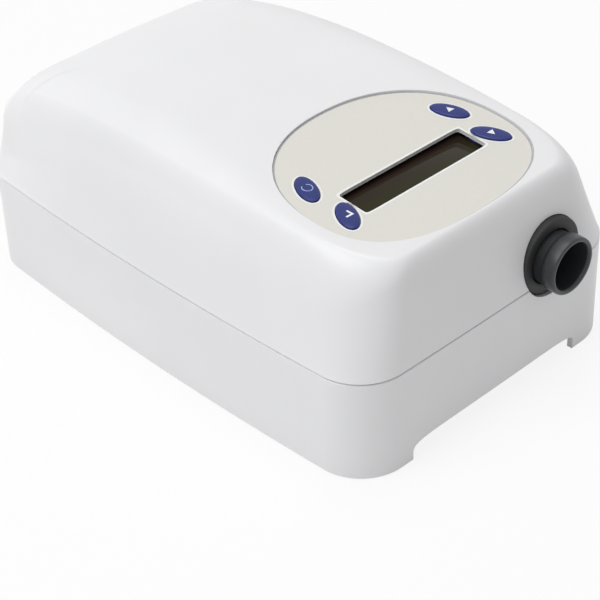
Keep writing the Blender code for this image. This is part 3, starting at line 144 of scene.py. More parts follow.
# %% Floor that keeps the shadow
floor_reach = 6.0
floor_glow = 0.86
floor_tone = (0.86, 0.86, 0.86, 1)
bm = bmesh.new()
bmesh.ops.create_grid(bm, x_segments=4, y_segments=4, size=floor_reach)
floor_mesh = bpy.data.meshes.new("floor")
bm.to_mesh(floor_mesh)
bm.free()
floor = bpy.data.objects.new("floor", floor_mesh)
bpy.context.scene.collection.objects.link(floor)
floor_paint = bpy.data.materials.new("floor_paint")
floor_paint.use_nodes = True
paint = floor_paint.node_tree
paint.nodes["Principled BSDF"].inputs["Base Color"].default_value = floor_tone
paint.nodes["Principled BSDF"].inputs["Roughness"].default_value = 0.9
paint.nodes["Principled BSDF"].inputs["Specular IOR Level"].default_value = 0.1
glow = paint.nodes.new("ShaderNodeEmission")
glow.inputs["Color"].default_value = (1, 1, 1, 1)
share = paint.nodes.new("ShaderNodeMath")
share.operation = "MULTIPLY"
share.inputs[1].default_value = floor_glow
either = paint.nodes.new("ShaderNodeMixShader")
paint.links.new(seen_directly(paint), share.inputs[0])
paint.links.new(share.outputs[0], either.inputs[0])
paint.links.new(paint.nodes["Principled BSDF"].outputs[0], either.inputs[1])
paint.links.new(glow.outputs[0], either.inputs[2])
paint.links.new(either.outputs[0], paint.nodes["Material Output"].inputs["Surface"])
floor_mesh.materials.append(floor_paint)

# %% Lamps
middle = Vector((0, 0, 45 * mm))
lamp_table = {
    "lamp_upper_left": ((-1.1, 0.25, 1.5), 1.2, 15.5),
    "lamp_above": ((0.2, 0.3, 1.9), 1.0, 10),
}


def soft_lamp(name, place, size, power):
    """A square lamp that looks at the machine's middle."""
    light = bpy.data.lights.new(name, "AREA")
    light.size = size
    light.energy = power
    lamp = bpy.data.objects.new(name, light)
    lamp.location = place
    lamp.rotation_euler = (middle - Vector(place)).to_track_quat("-Z", "Y").to_euler()
    bpy.context.scene.collection.objects.link(lamp)


for name, (place, size, power) in lamp_table.items():
    soft_lamp(name, place, size, power)
print("lamps:", list(lamp_table))

# %% [markdown]
# ## Finishes
# A moulded part is never one flat colour. Its tool leaves a fine grain, its gloss changes a little
# from place to place, and its colour drifts by a hair. Each finish below starts from one shader and
# gets some or all of these three from a pattern that sits on the part itself, so that nothing slides
# when the camera moves.

# %% Small helpers for finishes


def new_finish(name, colour, roughness, metallic=0.0):
    """A material with its plain values set on the shader's own sockets."""
    finish = bpy.data.materials.new(name)
    finish.use_nodes = True
    shader = finish.node_tree.nodes["Principled BSDF"]
    shader.inputs["Base Color"].default_value = (*colour, 1)
    shader.inputs["Roughness"].default_value = roughness
    shader.inputs["Metallic"].default_value = metallic
    return finish


def on_the_part(tree, stretch=(1, 1, 1), place=(0, 0, 0)):
    """Coordinates fixed to the part, stretched where the grain has a direction."""
    coordinates = tree.nodes.new("ShaderNodeTexCoord")
    mapping = tree.nodes.new("ShaderNodeMapping")
    mapping.inputs["Scale"].default_value = stretch
    mapping.inputs["Location"].default_value = place
    tree.links.new(coordinates.outputs["Object"], mapping.inputs["Vector"])
    return mapping.outputs["Vector"]


def noise(finish, scale, detail, stretch=(1, 1, 1)):
    """Soft noise on the part, as a value for the helpers below."""
    tree = finish.node_tree
    pattern = tree.nodes.new("ShaderNodeTexNoise")
    pattern.inputs["Scale"].default_value = scale
    pattern.inputs["Detail"].default_value = detail
    tree.links.new(on_the_part(tree, stretch), pattern.inputs["Vector"])
    return pattern.outputs["Fac"]


def tint(finish, value, dark, light, low=0.3, high=0.7):
    """Base colour between two tones, led by a pattern."""
    tree = finish.node_tree
    ramp = tree.nodes.new("ShaderNodeValToRGB")
    ramp.color_ramp.elements[0].position = low
    ramp.color_ramp.elements[0].color = (*dark, 1)
    ramp.color_ramp.elements[1].position = high
    ramp.color_ramp.elements[1].color = (*light, 1)
    tree.links.new(value, ramp.inputs["Fac"])
    tree.links.new(ramp.outputs["Color"], tree.nodes["Principled BSDF"].inputs["Base Color"])


def gloss(finish, value, smooth, rough):
    """Roughness between two values, led by a pattern."""
    tree = finish.node_tree
    spread = tree.nodes.new("ShaderNodeMapRange")
    spread.inputs["From Min"].default_value = 0.3
    spread.inputs["From Max"].default_value = 0.7
    spread.inputs["To Min"].default_value = smooth
    spread.inputs["To Max"].default_value = rough
    tree.links.new(value, spread.inputs["Value"])
    tree.links.new(spread.outputs["Result"], tree.nodes["Principled BSDF"].inputs["Roughness"])


def relief(finish, value, depth, strength=1.0):
    """Bumps of a real depth in metres, one over another if it is called again."""
    tree = finish.node_tree
    bump = tree.nodes.new("ShaderNodeBump")
    bump.inputs["Strength"].default_value = strength
    bump.inputs["Distance"].default_value = depth
    normal = tree.nodes["Principled BSDF"].inputs["Normal"]
    if normal.is_linked:
        tree.links.new(normal.links[0].from_socket, bump.inputs["Normal"])
    tree.links.new(value, bump.inputs["Height"])
    tree.links.new(bump.outputs["Normal"], normal)


def moulded(name, colour, roughness, drift=0.02, grain=1500, depth=0.00002):
    """Injection-moulded plastic: a fine grain, a drifting gloss and a hair of colour drift."""
    finish = new_finish(name, colour, roughness)
    dark = [max(channel * (1 - drift), 0) for channel in colour]
    light = [min(channel * (1 + drift), 1) for channel in colour]
    tint(finish, noise(finish, 14, 4), dark, light)
    gloss(finish, noise(finish, 60, 5), roughness - 0.04, roughness + 0.05)
    relief(finish, noise(finish, grain, 2), depth, 0.35)
    return finish


# %% Plastics and rubber
case_white = moulded("case_white", (0.80, 0.80, 0.812), 0.36)
wheel_white = moulded("wheel_white", (0.72, 0.73, 0.74), 0.40)
inner_grey = moulded("inner_grey", (0.10, 0.11, 0.12), 0.50, 0.08)
fitting_black = moulded("fitting_black", (0.020, 0.020, 0.022), 0.42, 0.15)
port_grey = moulded("port_grey", (0.022, 0.025, 0.027), 0.36, 0.12, 1100, 0.00003)
key_blue = moulded("key_blue", (0.016, 0.028, 0.170), 0.34, 0.06)
key_blue.node_tree.nodes["Principled BSDF"].inputs["Specular IOR Level"].default_value = 0.3
cream = moulded("cream", (0.74, 0.70, 0.58), 0.50, 0.03)
rubber = moulded("rubber", (0.018, 0.018, 0.019), 0.78, 0.2, 900, 0.00005)
rim_black = moulded("rim_black", (0.012, 0.012, 0.012), 0.60, 0.2)
print("finishes so far:", len(bpy.data.materials))

# %% Printed film of the panel
film = new_finish("film", (0.69, 0.73, 0.66), 0.42)
tint(film, noise(film, 1800, 2), (0.690, 0.678, 0.622), (0.718, 0.702, 0.650))
gloss(film, noise(film, 90, 4), 0.38, 0.48)
relief(film, noise(film, 2600, 2), 0.00001, 0.4)
ink_white = new_finish("ink_white", (0.86, 0.87, 0.87), 0.40)
tint(ink_white, noise(ink_white, 1500, 3), (0.82, 0.83, 0.84), (0.88, 0.89, 0.89))
relief(ink_white, noise(ink_white, 2400, 2), 0.00001, 0.4)
ink_pale_blue = new_finish("ink_pale_blue", (0.40, 0.48, 0.80), 0.40)
tint(ink_pale_blue, noise(ink_pale_blue, 1500, 3), (0.36, 0.44, 0.76), (0.44, 0.52, 0.84))
edge_line_slate = new_finish("edge_line_slate", (0.36, 0.38, 0.42), 0.45)
tint(edge_line_slate, noise(edge_line_slate, 1500, 3), (0.33, 0.35, 0.39), (0.39, 0.41, 0.45))

# %% Metals
steel = new_finish("steel", (0.60, 0.60, 0.61), 0.30, 1.0)
tint(steel, noise(steel, 200, 5), (0.54, 0.54, 0.55), (0.64, 0.64, 0.65))
gloss(steel, noise(steel, 900, 3, (1, 1, 12)), 0.22, 0.40)
relief(steel, noise(steel, 1600, 3, (1, 1, 10)), 0.00001, 0.4)
aluminium = new_finish("aluminium", (0.75, 0.76, 0.77), 0.38, 1.0)
tint(aluminium, noise(aluminium, 160, 5), (0.68, 0.69, 0.70), (0.78, 0.79, 0.80))
gloss(aluminium, noise(aluminium, 1200, 3, (8, 1, 1)), 0.30, 0.48)

# %% Copper wire laid side by side: a wave of one wire's pitch gives the ridges
wire_pitch = 0.5 * mm
waves_per_unit = 3.2
copper = new_finish("copper", (0.72, 0.33, 0.13), 0.34, 0.9)
tree = copper.node_tree
ridges = tree.nodes.new("ShaderNodeTexWave")
ridges.bands_direction = "Z"
ridges.inputs["Scale"].default_value = 1 / wire_pitch / waves_per_unit
ridges.inputs["Distortion"].default_value = 0.6
ridges.inputs["Detail"].default_value = 1.0
tree.links.new(on_the_part(tree), ridges.inputs["Vector"])
# Painted shade: the colour turns dark brown in the grooves between the wires.
tint(copper, ridges.outputs["Fac"], (0.30, 0.10, 0.035), (0.72, 0.33, 0.13), 0.1, 0.8)
relief(copper, ridges.outputs["Fac"], 0.00015, 0.8)

# %% Boards, foam, tube and ribbon
board_green = new_finish("board_green", (0.020, 0.150, 0.060), 0.38)
tree = board_green.node_tree
tracks = tree.nodes.new("ShaderNodeTexBrick")
tracks.inputs["Scale"].default_value = 260
tracks.inputs["Color1"].default_value = (0.016, 0.115, 0.045, 1)
tracks.inputs["Color2"].default_value = (0.022, 0.140, 0.055, 1)
tracks.inputs["Mortar"].default_value = (0.050, 0.240, 0.090, 1)
tracks.inputs["Mortar Size"].default_value = 0.03
tree.links.new(on_the_part(tree), tracks.inputs["Vector"])
tree.links.new(tracks.outputs["Color"], tree.nodes["Principled BSDF"].inputs["Base Color"])
relief(board_green, tracks.outputs["Fac"], 0.00003, 0.5)
foam = new_finish("foam", (0.20, 0.20, 0.21), 0.95)
tree = foam.node_tree
cells = tree.nodes.new("ShaderNodeTexVoronoi")
cells.inputs["Scale"].default_value = 1400
tree.links.new(on_the_part(tree), cells.inputs["Vector"])
# Painted shade: the pits in the middle of each cell are painted nearly black.
tint(foam, cells.outputs["Distance"], (0.05, 0.05, 0.055), (0.28, 0.28, 0.29), 0.1, 0.6)
relief(foam, cells.outputs["Distance"], 0.0004, 1.0)
clear_tube = moulded("clear_tube", (0.62, 0.67, 0.68), 0.24)
clear_tube.node_tree.nodes["Principled BSDF"].inputs["Transmission Weight"].default_value = 0.5
ribbon_white = new_finish("ribbon_white", (0.78, 0.78, 0.74), 0.45)
tree = ribbon_white.node_tree
ribbon_pitch = 1.27 * mm
wires = tree.nodes.new("ShaderNodeTexWave")
wires.inputs["Scale"].default_value = 1 / ribbon_pitch / waves_per_unit
tree.links.new(on_the_part(tree), wires.inputs["Vector"])
# Painted shade: the colour turns grey in the grooves between the wires.
tint(ribbon_white, wires.outputs["Fac"], (0.55, 0.55, 0.53), (0.80, 0.80, 0.77), 0.02, 0.3)
relief(ribbon_white, wires.outputs["Fac"], 0.0001, 0.8)
print("finishes in all:", len(bpy.data.materials))

# %% [markdown]
# ## From a mesh to a piece
# Every piece goes the same way at the end. Double corners are merged, faces that meet at a small
# angle are shaded as one smooth surface, and the piece is hung on its body. Where a solid of the
# frame already has the right form, a merged copy of it is enough: only its shading was missing.

# %% Finishing a piece
group = bpy.data.collections.new("machine_looks")
bpy.context.scene.collection.children.link(group)
weld_distance = 0.002 * mm


def finish_piece(bm, name, body, finish, slot, *stands_for, smooth=38, outward=True):
    """Turns a finished bmesh into a piece that moves with a body."""
    bmesh.ops.remove_doubles(bm, verts=bm.verts, dist=weld_distance)
    if outward:
        bmesh.ops.recalc_face_normals(bm, faces=bm.faces)
    mesh = bpy.data.meshes.new(name)
    bm.to_mesh(mesh)
    bm.free()
    mesh.materials.append(finish)
    mesh.shade_smooth()
    mesh.set_sharp_from_angle(angle=math.radians(smooth))
    piece = bpy.data.objects.new(name, mesh)
    group.objects.link(piece)
    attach(piece, body)
    if stands_for:
        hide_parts(*stands_for)
    return piece


def merged_copy(node):
    """The solid's triangles with shared corners, as a bmesh."""
    bm = bmesh.new()
    bm.from_mesh(nodes[node].data)
    bmesh.ops.remove_doubles(bm, verts=bm.verts, dist=weld_distance)
    return bm


def smooth_copy(node, finish, slot, smooth):
    """A merged copy of a solid that stands for it."""
    return finish_piece(merged_copy(node), node + "_skin", nodes[node]["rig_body"], finish, slot, node,
                        smooth=smooth, outward=False)


# %% [markdown]
# ## The two case halves
# The housing is two moulded shells that meet on one level line a little below half height. Their
# form is too soft for boxes and bevels: the sides lean in, the top rises towards the rear and falls
# away in a shallow hollow. So one ring of corners is drawn out again and again, and each corner of
# each ring is put where the form has it. A corner knows its station, its number round the case.

# %% Sizes of the case
case_middle_y = 3.721 * mm
case_place = Matrix.Translation((0, case_middle_y, 0))
half_width = 70.5 * mm
rear_half = 106.5 * mm
front_half = 105.65 * mm
side_bow = 2.5 * mm
rear_bow = 2.4 * mm
rear_bow_reach = 48 * mm
front_bow = 0.3 * mm
rear_corner = 17.2 * mm
front_corner = 19.4 * mm
least_corner = 6 * mm
parting = 41 * mm
parting_gap = 0.4 * mm
shoulder = 80.4 * mm
side_form = (10.5 * mm, 5.0 * mm, 19.5 * mm)
front_form = (6.2 * mm, 3.0 * mm, 6.9 * mm)
rear_form = (1.5 * mm, 34.8 * mm, 0)
corner_growth = 0.6
corner_steps = 18
side_steps = 26
print("forms hold lean, reach of the rounding and its drop, in mm:", [round(v / mm, 1) for v in side_form])

# %% Stations round the case
stations = []
for quarter in range(4):
    stations += [(quarter, 2 * step / side_steps - 1, None) for step in range(1, side_steps)]
    stations += [(quarter, 1, step / corner_steps) for step in range(corner_steps + 1)]


def plan_point(station, inset):
    """A corner of the outline from above, moved inwards. Quarters 0 and 2 are the long sides.
    The front corners grow rounder as they move in, so the shoulder follows the panel."""
    quarter, share, turn = stations[station]
    rear_now = max(rear_corner - inset, least_corner)
    front_now = front_corner + corner_growth * inset
    rear_y = rear_half - rear_bow - inset - rear_now
    front_y = -(front_half - front_bow - inset - front_now)
    facing = 1 if quarter < 2 else -1
    if turn is not None:
        angle = math.pi / 2 * (quarter + turn)
        at_rear = quarter < 2
        radius = rear_now if at_rear else front_now
        x = (half_width - side_bow - inset - radius) * (1 if quarter in (0, 3) else -1)
        y = rear_y if at_rear else front_y
        return x + radius * math.cos(angle), y + radius * math.sin(angle)
    if quarter % 2 == 0:
        way = facing * share
        end_y = rear_y if way > 0 else -front_y
        return facing * (half_width - inset - side_bow * share ** 2), way * end_y
    across = half_width - side_bow - inset - (rear_now if quarter == 1 else front_now)
    end = rear_half - rear_bow * share ** 2 if quarter == 1 else front_half - front_bow * share ** 2
    return -facing * across * share, facing * (end - inset)


print("stations round the case:", len(stations))

# %% [markdown]
# The height of the top is worked out for any place seen from above. A ridge climbs from the panel and
# bends level, both flanks fall a little, and near the back the top drops away.

# %% Height of the top
panel_y = -65.1 * mm
panel_roof = 81.8 * mm
panel_slope = math.radians(5.0)
climb = math.tan(panel_slope)
crown_start = -20.5 * mm
crown_peak = 69.2 * mm
flat_front = 48 * mm
flat_rear = 37 * mm
hollow_in = 17.8 * mm
hollow_out = 36.5 * mm
flank_fall = (95.7 * mm, 21.2 * mm)
middle_fall = (77.9 * mm, 22.9 * mm)
fall_start = 3.8 * mm


def top_height(x, y):
    """Height of the top over a place: the ridge, less the fall of the flanks and of the back."""
    bend = max(y - crown_start, 0) ** 2 * climb / (2 * (crown_peak - crown_start))
    ridge = panel_roof + climb * (y - panel_y) - bend
    along = min(max((y - panel_y) / (crown_peak - panel_y), 0), 1)
    flat = flat_front + (flat_rear - flat_front) * along
    past = min(max(abs(x) - flat, 0) / (half_width - side_form[0] - flat), 1)
    out = min(max((abs(x) - hollow_in) / (hollow_out - hollow_in), 0), 1)
    middle = 1 - out * out * (3 - 2 * out)
    radius, drop = (a + (b - a) * middle for a, b in zip(flank_fall, middle_fall))
    depth = rear_half - fall_start - rear_bow * (x / rear_bow_reach) ** 2 - y
    share = min(max(1 - depth / radius, 0), 1)
    return ridge - (ridge - shoulder) * past ** 2 - drop * (1 - math.sqrt(1 - share ** 2))


def case_point(station, rise, wall=0):
    """A place on the upper half: rise runs from -1 to 0 up the wall and on to 1 over the shoulder."""
    quarter, share, turn = stations[station]
    angle = math.pi / 2 * (quarter + (turn or 0))
    side, end = math.cos(angle) ** 2, math.sin(angle) ** 2
    end_form = rear_form if math.sin(angle) > 1e-6 else front_form
    lean, reach, drop = (side * a + end * b for a, b in zip(side_form, end_form))
    turned = math.pi / 2 * max(rise, 0)
    height = shoulder - parting
    inset = lean * (1 - drop / height * (1 - math.sin(turned))) + reach * (1 - math.cos(turned))
    x, y = plan_point(station, inset)
    z = top_height(x, y) - drop * (1 - math.sin(turned)) - wall * math.sin(turned)
    if rise < 0:
        z = parting + (z - parting) * (1 + rise)
        inset *= 1 + rise
    x, y = plan_point(station, inset + wall * math.cos(turned))
    return x, y, z


print("top over the panel's middle, mm:", round(top_height(0, panel_y) / mm, 2))

# %% [markdown]
# A shell is an outer body minus a cavity. Both are drawn from the same rings, the cavity's moved
# inwards by the wall. Posts and bosses are taken out of the cavity first, so they stay standing in
# the shell. Cutters that don't touch each other are joined, which saves cuts. The posts of the key
# board and the blower, two posts of the main board and the stands of the inlet box aren't drawn: the
# closed case hides them.

# %% Drawing a body ring by ring


def next_ring(bm, edges):
    """Draws a closed chain of edges out once. The new edges and their corners come back."""
    grown = bmesh.ops.extrude_edge_only(bm, edges=edges)["geom"]
    return ([item for item in grown if isinstance(item, bmesh.types.BMEdge)],
            [item for item in grown if isinstance(item, bmesh.types.BMVert)])


def drawn_body(rings, closed_top=True):
    """Rings are functions from a station to a place. The first and the last ring are closed."""
    bm = bmesh.new()
    layer = bm.verts.layers.int.new("station")
    count = len(stations)
    bmesh.ops.create_circle(bm, segments=count, radius=1)
    for vert in bm.verts:
        number = round(math.atan2(vert.co.y, vert.co.x) / (2 * math.pi) * count) % count
        vert[layer] = number
        vert.co = rings[0](number)
    edges = bm.edges[:]
    bmesh.ops.contextual_create(bm, geom=edges)
    for ring in rings[1:]:
        edges, corners = next_ring(bm, edges)
        for vert in corners:
            vert.co = ring(vert[layer])
    lid = bmesh.ops.contextual_create(bm, geom=edges)["faces"]
    if closed_top:
        bmesh.ops.poke(bm, faces=lid)
    bmesh.ops.remove_doubles(bm, verts=bm.verts, dist=weld_distance)
    bmesh.ops.recalc_face_normals(bm, faces=bm.faces)
    bm.transform(case_place)
    return bm


def roof_row(share, wall):
    """A ring of the roof, pulled towards the middle."""
    def place(station):
        x, y, z = case_point(station, 1)
        return x * share, y * share, top_height(x * share, y * share) - wall
    return place


wall_steps = 8
shoulder_steps = 16
roof_shares = (0.95, 0.88, 0.8, 0.71, 0.62, 0.52, 0.42, 0.32, 0.22, 0.12, 0.05)
edge_round = 0.25 * mm


def upper_body(wall, foot):
    """The upper half's outer body when the wall is 0, else the cavity inside that wall."""
    if wall == 0:
        rings = [lambda station: (*plan_point(station, edge_round), foot),
                 lambda station: (*plan_point(station, 0), foot + edge_round)]
    else:
        rings = [lambda station: (*case_point(station, -1, wall)[:2], foot)]
    rises = [step / wall_steps - 1 for step in range(1, wall_steps)]
    rises += [step / shoulder_steps for step in range(shoulder_steps + 1)]
    rings += [lambda station, rise=rise: case_point(station, rise, wall) for rise in rises]
    rings += [roof_row(share, wall) for share in roof_shares]
    return drawn_body(rings)


# %% Rods, plates and one exact Boolean
rod_steps = 40
panel_steps = 160
key_steps = 64
outlet_steps = 96


def rods(places, radius, low, high):
    """Upright rods at some places, in one mesh."""
    bm = bmesh.new()
    for x, y in places:
        bmesh.ops.create_cone(bm, cap_ends=True, segments=rod_steps, radius1=radius, radius2=radius,
                              depth=high - low, matrix=Matrix.Translation((x, y, (low + high) / 2)))
    return bm


def lift(bm, grown, height):
    """Moves the corners that an extrusion made upwards."""
    corners = [item for item in grown if isinstance(item, bmesh.types.BMVert)]
    bmesh.ops.translate(bm, vec=(0, 0, height), verts=corners)


def plate(outline, steps, low, high, place):
    """A flat body whose outline is a function of the angle."""
    bm = bmesh.new()
    bmesh.ops.create_circle(bm, segments=steps, radius=1, cap_ends=True)
    for vert in bm.verts:
        vert.co = (*outline(math.atan2(vert.co.y, vert.co.x)), low)
    lift(bm, bmesh.ops.extrude_face_region(bm, geom=bm.faces[:])["geom"], high - low)
    bmesh.ops.recalc_face_normals(bm, faces=bm.faces)
    bm.transform(place)
    return bm


def joined(*parts):
    """Several bodies as the loose islands of one mesh."""
    whole = bmesh.new()
    for part in parts:
        mesh = bpy.data.meshes.new("island")
        part.to_mesh(mesh)
        part.free()
        whole.from_mesh(mesh)
        bpy.data.meshes.remove(mesh)
    return whole


def less(body, tool):
    """The body minus the tool, as a new bmesh."""
    made = []
    for bm in (body, tool):
        mesh = bpy.data.meshes.new("for_cut")
        bm.to_mesh(mesh)
        bm.free()
        made.append(bpy.data.objects.new("for_cut", mesh))
        bpy.context.scene.collection.objects.link(made[-1])
    cut = made[0].modifiers.new("cut", "BOOLEAN")
    cut.operation = "DIFFERENCE"
    cut.object = made[1]
    seen = made[0].evaluated_get(bpy.context.evaluated_depsgraph_get())
    result = bmesh.new()
    result.from_mesh(seen.to_mesh())
    seen.to_mesh_clear()
    for thing in made:
        mesh = thing.data
        bpy.data.objects.remove(thing)
        bpy.data.meshes.remove(mesh)
    return result


def middles(*names):
    """Where upright round nodes stand, seen from above."""
    places = []
    for name in names:
        low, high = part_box(name)
        places.append(((low.x + high.x) / 2, (low.y + high.y) / 2))
    return places


# %% [markdown]
# The panel has a frame of its own: x runs across it, y runs up its slope, and z stands square to it.
# The key table holds each key's place in that frame and its turn.

# %% The panel's own frame
film_top = 81.0 * mm
panel_middle = (0, case_middle_y + panel_y, film_top)
panel_place = Matrix.Translation(panel_middle) @ Matrix.Rotation(panel_slope, 4, "X")
panel_half_width = 47.3 * mm
panel_rear = 45.5 * mm
panel_front = 30.8 * mm
panel_widest = 3.0 * mm
rear_square_share = 2 / 2.2
front_square_share = 2 / 2.6
window_square_share = 0.10
key_long = 7.4 * mm
key_short = 3.7 * mm
key_table = {
    "power": (-35.9 * mm, 15.9 * mm, math.radians(65.6)),
    "enter": (-36.2 * mm, -3.7 * mm, math.radians(61.0)),
    "up": (35.9 * mm, 15.9 * mm, math.radians(-65.6)),
    "down": (36.2 * mm, -3.7 * mm, math.radians(-61.0)),
}
window_half_u = 30.2 * mm
window_half_v = 6.9 * mm


def squared(angle, power):
    """A point of the unit circle, pushed out towards a square. The smaller the power, the squarer."""
    return (math.copysign(abs(math.cos(angle)) ** power, math.cos(angle)),
            math.copysign(abs(math.sin(angle)) ** power, math.sin(angle)))


def egg_point(angle, grow):
    """The panel's outline: a rounder half to the rear, a squarer one to the front."""
    rear = math.sin(angle) >= 0
    reach = (panel_rear - panel_widest if rear else panel_front + panel_widest) + grow
    u, v = squared(angle, rear_square_share if rear else front_square_share)
    return (panel_half_width + grow) * u, panel_widest + reach * v


def oval_point(angle, long_half, short_half, turn):
    """An oval's outline, turned as its key is."""
    u, v = long_half * math.cos(angle), short_half * math.sin(angle)
    return u * math.cos(turn) - v * math.sin(turn), u * math.sin(turn) + v * math.cos(turn)


def window_point(angle, grow):
    """The window's outline: a circle pushed out into a rectangle, with a hair of rounding left."""
    u, v = squared(angle, window_square_share)
    return (window_half_u + grow) * u, (window_half_v + grow) * v


def panel_openings(low, high, play):
    """Cutters for the window and the four key holes."""
    made = [plate(lambda angle: window_point(angle, 0), panel_steps, low, high, panel_place)]
    for x, y, turn in key_table.values():
        made.append(plate(lambda angle: oval_point(angle, key_long + play, key_short + play, turn), key_steps,
                          low, high, panel_place @ Matrix.Translation((x, y, 0))))
    return made


# %% Cuts that both halves share
outlet_axis = Vector((28.7 * mm, 0, 48.7 * mm))
outlet_opening = 15.1 * mm
flange_y = -97.5 * mm
flange_radius = 17.2 * mm
flange_play = 0.3 * mm
seat_depth = 6 * mm
front_y = case_middle_y - front_half
front_cut_before, front_cut_behind = 5 * mm, 12 * mm
item_gap = 0.3 * mm
item_corner = 2 * mm
rear_cut_middle = 107 * mm
rear_cut_depth = 12 * mm


def lying_rod(radius, near, far):
    """A rod along Y on the outlet's axis."""
    place = Matrix.Translation(outlet_axis + Vector((0, (near + far) / 2, 0)))
    bm = bmesh.new()
    bmesh.ops.create_cone(bm, cap_ends=True, segments=outlet_steps, radius1=radius, radius2=radius,
                          depth=far - near, matrix=place @ Matrix.Rotation(math.pi / 2, 4, "X"))
    return bm


def rear_hole(node):
    """A hole through the back wall, a little larger than the item that sits in it."""
    low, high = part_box(node)
    bm = bmesh.new()
    bmesh.ops.create_cube(bm, size=1)
    bmesh.ops.scale(bm, vec=(high.x - low.x + 2 * item_gap, rear_cut_depth, high.z - low.z + 2 * item_gap),
                    verts=bm.verts)
    along_y = [edge for edge in bm.edges
               if abs(edge.verts[0].co.y - edge.verts[1].co.y) > rear_cut_depth / 2]
    bmesh.ops.bevel(bm, geom=along_y, offset=item_corner, segments=1, profile=0.5, affect="EDGES",
                    material=-1)
    bmesh.ops.translate(bm, vec=((low.x + high.x) / 2, rear_cut_middle, (low.z + high.z) / 2), verts=bm.verts)
    return bm


def shared_cuts():
    """The round outlet opening and the three holes for the items at the back."""
    return joined(lying_rod(outlet_opening, front_y - front_cut_before, front_y + front_cut_behind),
                  rear_hole("mains_socket"), rear_hole("switch_body"), rear_hole("filter_cover"))


def outlet_seat():
    """Room behind the front wall for the outlet's flange."""
    return lying_rod(flange_radius + flange_play, flange_y - 0.1 * mm, flange_y + seat_depth)


# %% Upper half
upper_wall = 2.2 * mm
overrun = 1 * mm
post_radius = 4.2 * mm
upper_post_length = 11 * mm
upper_bore_radius = 1.5 * mm
upper_bore_depth = 8.6 * mm
film_gap = 0.3 * mm
recess_low, recess_high = -0.6 * mm, 6 * mm
opening_low, opening_high = -4 * mm, 2 * mm
key_play = 0.3 * mm
post_places = middles("case_screw_1", "case_screw_2", "case_screw_3", "case_screw_4")
upper_foot = parting + parting_gap / 2
cavity = less(upper_body(upper_wall, upper_foot - 2 * overrun),
              rods(post_places, post_radius, upper_foot, upper_foot + upper_post_length))
upper = less(upper_body(0, upper_foot), cavity)
bores = rods(post_places, upper_bore_radius, upper_foot - overrun, upper_foot + upper_bore_depth)
recess = plate(lambda angle: egg_point(angle, film_gap), panel_steps, recess_low, recess_high, panel_place)
upper = less(upper, joined(bores, shared_cuts(), recess))
upper = less(upper, joined(outlet_seat(), *panel_openings(opening_low, opening_high, key_play)))
upper_shell = finish_piece(upper, "upper_shell", "housing", case_white, "case_white", "upper_case", smooth=30,
                           outward=False)
print("upper shell faces:", len(upper_shell.data.polygons))

# %% [markdown]
# The lower half has upright walls that stand a hair above the table. It has a floor of its own at
# 8 mm, with one cavity over it and one under it, where the screws and the rubber feet sit. An arch
# is cut out at the foot of the front wall, and seven slots in the floor let air through.

# %% Lower half
lower_wall = 2.4 * mm
lower_head = parting - parting_gap / 2
floor_low, floor_high = 8.0 * mm, 10.4 * mm
skirt_foot = 0.4 * mm
skirt_edge = 0.3 * mm
boss_radius = 7.7 * mm
boss_foot = 1.4 * mm
board_post_radius = 2.5 * mm
board_gap = 0.3 * mm
screw_way = 1.7 * mm
screw_way_low = 5 * mm
head_way = 3.4 * mm
head_depth = 2.0 * mm


def lower_body(inset, low, high, edge=0):
    """An upright body between two heights, with a small slope at both rims if an edge is given."""
    levels = [(low, edge), (low + edge, 0), (high - edge, 0), (high, edge)] if edge else [(low, 0), (high, 0)]
    rings = [lambda station, z=z, more=more: (*plan_point(station, inset + more), z) for z, more in levels]
    return drawn_body(rings, False)


foot_places = middles("rubber_foot_1", "rubber_foot_2", "rubber_foot_3", "rubber_foot_4")
board_places = middles("main_board_screw_1", "main_board_screw_2")
board_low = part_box("main_board")[0].z
posts = rods(post_places, post_radius, floor_high - overrun, lower_head)
board_posts = rods(board_places, board_post_radius, floor_high - overrun, board_low - board_gap)
bosses = rods(foot_places, boss_radius, boss_foot, floor_low + overrun)
above_floor = less(lower_body(lower_wall, floor_high, lower_head + 2 * overrun), joined(posts, board_posts))
under_floor = less(lower_body(lower_wall, -2 * overrun, floor_low), bosses)
lower = less(lower_body(0, skirt_foot, lower_head, skirt_edge), joined(above_floor, under_floor))

# %% Arch, floor slots and the lower half's cuts
arch_half = 43 * mm
arch_height = 7.8 * mm
arch_square_share = 0.28
arch_steps = 192
arch_back = -89 * mm
arch_length = 22 * mm
slot_count = 7
slot_pitch = 7 * mm
slot_size = (2.2 * mm, 30 * mm, 6 * mm)
slot_middle = Vector((-24 * mm, case_middle_y + 70 * mm, 9.2 * mm))


def arch_point(angle):
    """The arch from the front. Its lower half lies under the table and cuts nothing."""
    u, v = squared(angle, arch_square_share)
    return arch_half * u, arch_height * v


arch_place = Matrix.Translation((0, arch_back, 0)) @ Matrix.Rotation(math.pi / 2, 4, "X")
arch = plate(arch_point, arch_steps, 0, arch_length, arch_place)
slots = bmesh.new()
for step in range(slot_count):
    aside = Vector(((step - (slot_count - 1) / 2) * slot_pitch, 0, 0))
    slot_place = Matrix.Translation(slot_middle + aside) @ Matrix.Diagonal((*slot_size, 1))
    bmesh.ops.create_cube(slots, size=1, matrix=slot_place)
ways = rods(post_places, screw_way, screw_way_low, lower_head + overrun)
heads = rods(post_places, head_way, -overrun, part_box("case_screw_1")[0].z + head_depth)
lower = less(lower, joined(ways, arch, slots, shared_cuts()))
lower = less(lower, joined(heads, outlet_seat()))
lower_shell = finish_piece(lower, "lower_shell", "housing", case_white, "case_white", "lower_case", smooth=30,
                           outward=False)
print("lower shell faces:", len(lower_shell.data.polygons))
